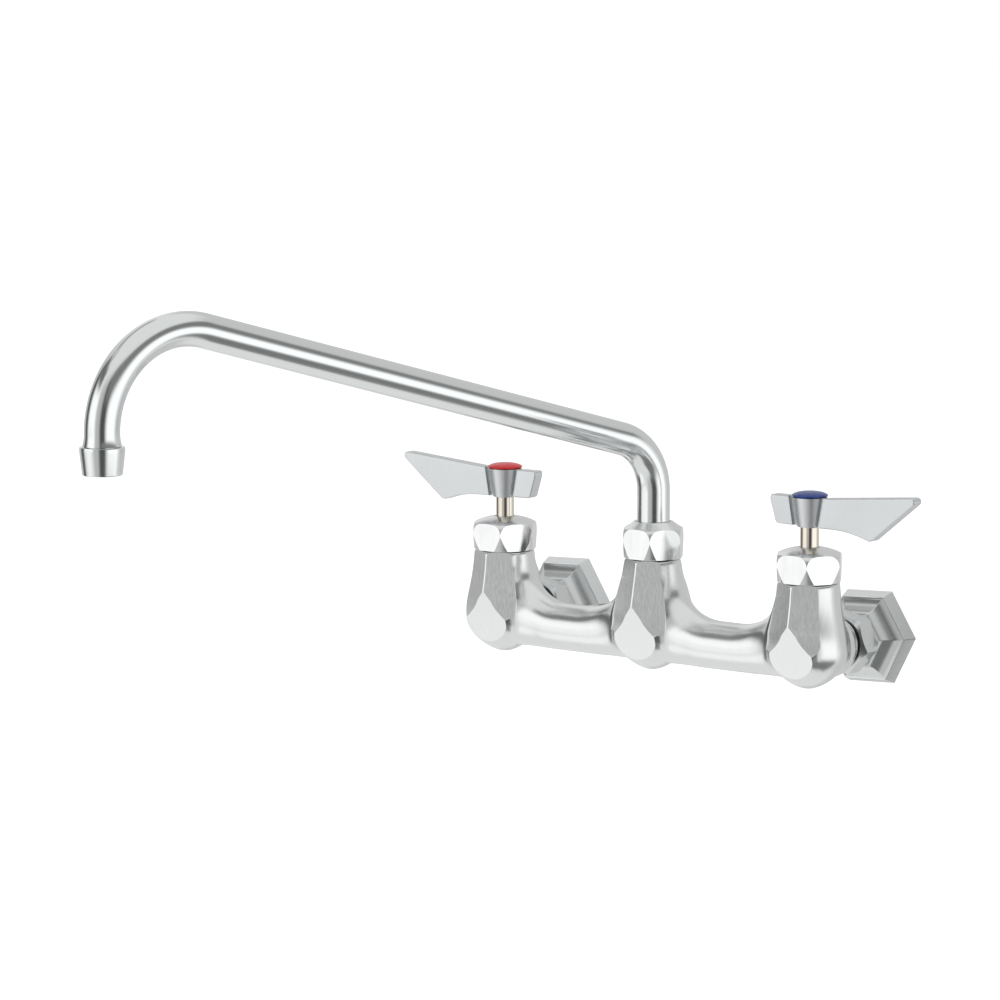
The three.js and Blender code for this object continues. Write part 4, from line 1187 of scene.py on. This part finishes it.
class FAUCET_OT_inlets(Operator):
    """Shapes the wall flanges, the coupling nuts and the washers between nut and boss"""

    bl_idname = "faucet.inlets"
    bl_label = "Wall flanges and nuts"

    def execute(self, context):
        size, look = settings(context)
        centre = Vector((size.centres / 2, 0, 0))
        satin = brushed_metal(
            "satin_flange", look.flange_metal, look.satin * 0.85, grain=(700, 160, 700), depth=0.0005
        )
        rubber = moulded("seal_rubber", look.rubber, 0.55)
        washer = coupling_washer(centre, "cold_coupling_washer_finished")
        made = [
            (flange(size, centre, "cold_wall_flange_finished"), satin, "satin_flange"),
            (coupling_nut(size, centre, "cold_coupling_nut_finished"), satin, "satin_flange"),
            (washer, rubber, "seal_rubber"),
        ]
        for piece, finish, slot in made:
            node = piece.name.replace("_finished", "")
            twin = copied(piece, piece.name.replace("cold", "hot"), cold_to_hot(size))
            dress(piece, finish, "faucet_base", slot, node)
            dress(twin, finish, "faucet_base", slot, node.replace("cold", "hot"))
        return {"FINISHED"}


# ------------------------------------------------------------------ inner pieces


class FAUCET_OT_inner_pieces(Operator):
    """Gives the pieces inside the valves, the spout's foot and the outlet their finishes"""

    bl_idname = "faucet.inner_pieces"
    bl_label = "Inner pieces"

    def execute(self, context):
        look = context.scene.faucet_finishes
        brass = brushed_metal("inner_brass", look.brass, 0.4, grain=(300, 300, 2000), depth=0.01)
        rubber = moulded("inner_rubber", look.rubber, 0.55)
        nylon = moulded("white_nylon", look.nylon, 0.45)
        ceramic = moulded("ceramic_disc", look.ceramic, 0.25, speckle=1500)
        steel = polished_metal("screw_steel", look.bonnet_metal, 0.2)
        kinds = (
            (brass, ("cartridge", "inlet_shank", "spout_collar")),
            (rubber, ("ring", "seal", "gasket")),
            (nylon, ("friction_washer", "insert")),
            (ceramic, ("disc",)),
            (steel, ("screw",)),
        )
        for name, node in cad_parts.items():
            if node.hide_render:
                continue
            fitting = [finish for finish, words in kinds if name.endswith(words)]
            if not fitting:
                raise RuntimeError(f"{name} has no finish")
            paint(node, fitting[0])
        return {"FINISHED"}


# ------------------------------------------------------------------ stage

# Softboxes and dark gaps of the studio: azimuth and its half width, elevation and its half
# height and the softness of the edge, all in degrees, then the brightness. Azimuth 0 is
# straight out of the wall, 90 to the right. Later ones lie over earlier ones.
# The stage's own lengths, below this table, are in metres, and the camera's lens is as usual.
STUDIO = (
    (180, 42, 0, 48, 6, 0.64),
    (-94, 20, -2, 36, 9, 0.62),
    (-72, 13, -2, 34, 6, 0.11),
    (-27, 22, 8, 18, 4, 1.22),
    (-28, 14, -12, 8, 5, 1.12),
    (-38, 10, -6, 6, 4, 1.08),
    (-45, 16, -36, 11, 5, 1.12),
    (15, 17, 0, 36, 9, 0.55),
    (43, 17, 0, 36, 8, 0.08),
    (-85, 42, 50, 7, 4, 0.40),
    (-50, 28, 38, 8, 3, 0.16),
    (-66, 9, 50, 2, 2, 1.0),
    (98, 27, -6, 14, 4, 1.24),
    (88, 50, 26, 13, 6, 0.22),
    (82, 42, -43, 19, 7, 0.20),
)
PALE = 0.84  # brightness of the light tent's plain cloth
TENT = 20.0  # radius of the light tent
FLOOR_Z = -0.32  # height of the floor
FLOOR_GLOW = 0.42  # what the floor gives off, to look white under the tent's light
CAMERA_PLACE = (1.4089, -1.9889, 0.3791)
CAMERA_TURN = (math.radians(90 - 7.34), 0.0, math.radians(38.13))
CAMERA_LENS = 160.74


def in_band(tree, value, centre, half, soft):
    """1 inside a band of degrees about a centre, falling softly to 0 outside it."""
    away = figure(tree, "SUBTRACT", value, math.radians(centre))
    away = figure(tree, "WRAP", away, math.pi, -math.pi)
    mask = add(
        tree, "ShaderNodeMapRange", interpolation_type="SMOOTHSTEP",
        value=figure(tree, "ABSOLUTE", away),
        from_min=math.radians(half + soft), from_max=math.radians(half - soft),
    )
    return mask.outputs["Result"]


def tent_cloth():
    """Glowing cloth whose softboxes and gaps give metal its bright and dark bands."""
    cloth = bpy.data.materials.new("tent_cloth")
    cloth.use_nodes = True
    tree = cloth.node_tree
    tree.nodes.clear()
    place = add(tree, "ShaderNodeTexCoord").outputs["Object"]
    direction = add(tree, "ShaderNodeVectorMath", operation="NORMALIZE", vector=place)
    right, back, up = add(tree, "ShaderNodeSeparateXYZ", vector=direction.outputs["Vector"]).outputs
    azimuth = figure(tree, "ARCTAN2", right, figure(tree, "MULTIPLY", back, -1.0))
    elevation = figure(tree, "ARCSINE", up)
    light = PALE
    for turn, half_width, height, half_height, soft, brightness in STUDIO:
        across = in_band(tree, azimuth, turn, half_width, soft)
        upward = in_band(tree, elevation, height, half_height, soft)
        both = figure(tree, "MULTIPLY", across, upward)
        mix = add(tree, "ShaderNodeMix", data_type="FLOAT", factor=both, a=light, b=brightness)
        light = mix.outputs["Result"]
    plain = add(tree, "ShaderNodeEmission", strength=PALE).outputs[0]
    banded = add(tree, "ShaderNodeEmission", strength=light).outputs[0]
    mirrored = add(tree, "ShaderNodeLightPath").outputs["Is Glossy Ray"]
    choice = add(tree, "ShaderNodeMixShader")
    for source, socket in zip((mirrored, plain, banded), choice.inputs):
        tree.links.new(source, socket)
    add(tree, "ShaderNodeOutputMaterial", surface=choice.outputs[0])
    cloth.cycles.emission_sampling = "NONE"
    return cloth


def seen_or_mirrored(tree):
    """1 for rays from the camera and for rays that metal or glass sends on, else 0."""
    path = add(tree, "ShaderNodeLightPath").outputs
    mirrored = figure(tree, "MAXIMUM", path["Is Glossy Ray"], path["Is Transmission Ray"])
    return figure(tree, "MAXIMUM", mirrored, path["Is Camera Ray"])


def white_backdrop(world):
    """White to the camera and in metal or glass, and pale to everything else."""
    world.use_nodes = True
    tree = world.node_tree
    backdrop = tree.nodes["Background"]
    backdrop.inputs["Color"].default_value = (1.0, 1.0, 1.0, 1.0)
    strength = spread(tree, seen_or_mirrored(tree), PALE, 1.0, start=0.0, end=1.0)
    tree.links.new(strength, backdrop.inputs["Strength"])


def light_tent():
    """The glowing sphere round everything, which only lights and is mirrored."""
    start_alone()
    bpy.ops.mesh.primitive_uv_sphere_add(segments=64, ring_count=32, radius=TENT)
    tent = named("light_tent")
    paint(tent, tent_cloth())
    tent.visible_camera = False
    return tent


def pale_floor():
    """A round white floor that takes the faucet's shadow."""
    start_alone()
    bpy.ops.mesh.primitive_circle_add(
        vertices=96, radius=TENT - 1, fill_type="NGON", location=(0, 0, FLOOR_Z)
    )
    floor = named("floor")
    finish, tree, shader = new_finish("pale_floor")
    shader.inputs["Base Color"].default_value = (0.9, 0.9, 0.9, 1.0)
    shader.inputs["Roughness"].default_value = 1.0
    shader.inputs["Specular IOR Level"].default_value = 0.0
    shader.inputs["Emission Color"].default_value = (1.0, 1.0, 1.0, 1.0)
    glow = spread(tree, seen_or_mirrored(tree), 0.0, FLOOR_GLOW, start=0.0, end=1.0)
    tree.links.new(glow, shader.inputs["Emission Strength"])
    paint(floor, finish)
    floor.visible_glossy = False
    return floor


class FAUCET_OT_stage(Operator):
    """Sets the pale floor, the studio light and the camera"""

    bl_idname = "faucet.stage"
    bl_label = "Stage"

    def execute(self, context):
        scene = context.scene
        scene.view_settings.view_transform = "Standard"
        world = bpy.data.worlds.new("studio")
        scene.world = world
        white_backdrop(world)
        light_tent()
        pale_floor()
        bpy.ops.object.camera_add(location=CAMERA_PLACE, rotation=CAMERA_TURN)
        camera = context.object
        camera.name = "camera"
        camera.data.lens = CAMERA_LENS
        camera.data.clip_end = 100
        scene.camera = camera
        return {"FINISHED"}


# ------------------------------------------------------------------ panel and main

STEPS = (
    FAUCET_OT_body,
    FAUCET_OT_bonnets,
    FAUCET_OT_stems,
    FAUCET_OT_handles,
    FAUCET_OT_buttons,
    FAUCET_OT_spout,
    FAUCET_OT_outlet,
    FAUCET_OT_inlets,
    FAUCET_OT_inner_pieces,
    FAUCET_OT_stage,
)
GROUPS = {
    "faucet_body": FaucetBodySizes,
    "faucet_trim": FaucetTrimSizes,
    "faucet_spout": FaucetSpoutSizes,
    "faucet_finishes": FaucetFinishes,
}


class FAUCET_PT_panel(Panel):
    """The sizes, the finishes and the steps that build the faucet"""

    bl_idname = "FAUCET_PT_panel"
    bl_label = "Wall faucet"
    bl_space_type = "VIEW_3D"
    bl_region_type = "UI"
    bl_category = "Faucet"

    def draw(self, context):
        for step in STEPS:
            self.layout.operator(step.bl_idname)
        for group in GROUPS:
            box = self.layout.box()
            values = getattr(context.scene, group)
            for name in values.__annotations__:
                box.prop(values, name)


def register():
    for group, kind in GROUPS.items():
        bpy.utils.register_class(kind)
        setattr(bpy.types.Scene, group, PointerProperty(type=kind))
    for step in STEPS:
        bpy.utils.register_class(step)
    bpy.utils.register_class(FAUCET_PT_panel)


def unregister():
    bpy.utils.unregister_class(FAUCET_PT_panel)
    for step in reversed(STEPS):
        bpy.utils.unregister_class(step)
    for group, kind in GROUPS.items():
        delattr(bpy.types.Scene, group)
        bpy.utils.unregister_class(kind)


def main():
    register()
    bpy.ops.faucet.body()
    bpy.ops.faucet.bonnets()
    bpy.ops.faucet.stems()
    bpy.ops.faucet.handles()
    bpy.ops.faucet.buttons()
    bpy.ops.faucet.spout()
    bpy.ops.faucet.outlet()
    bpy.ops.faucet.inlets()
    bpy.ops.faucet.inner_pieces()
    bpy.ops.faucet.stage()


if __name__ == "__main__":
    main()
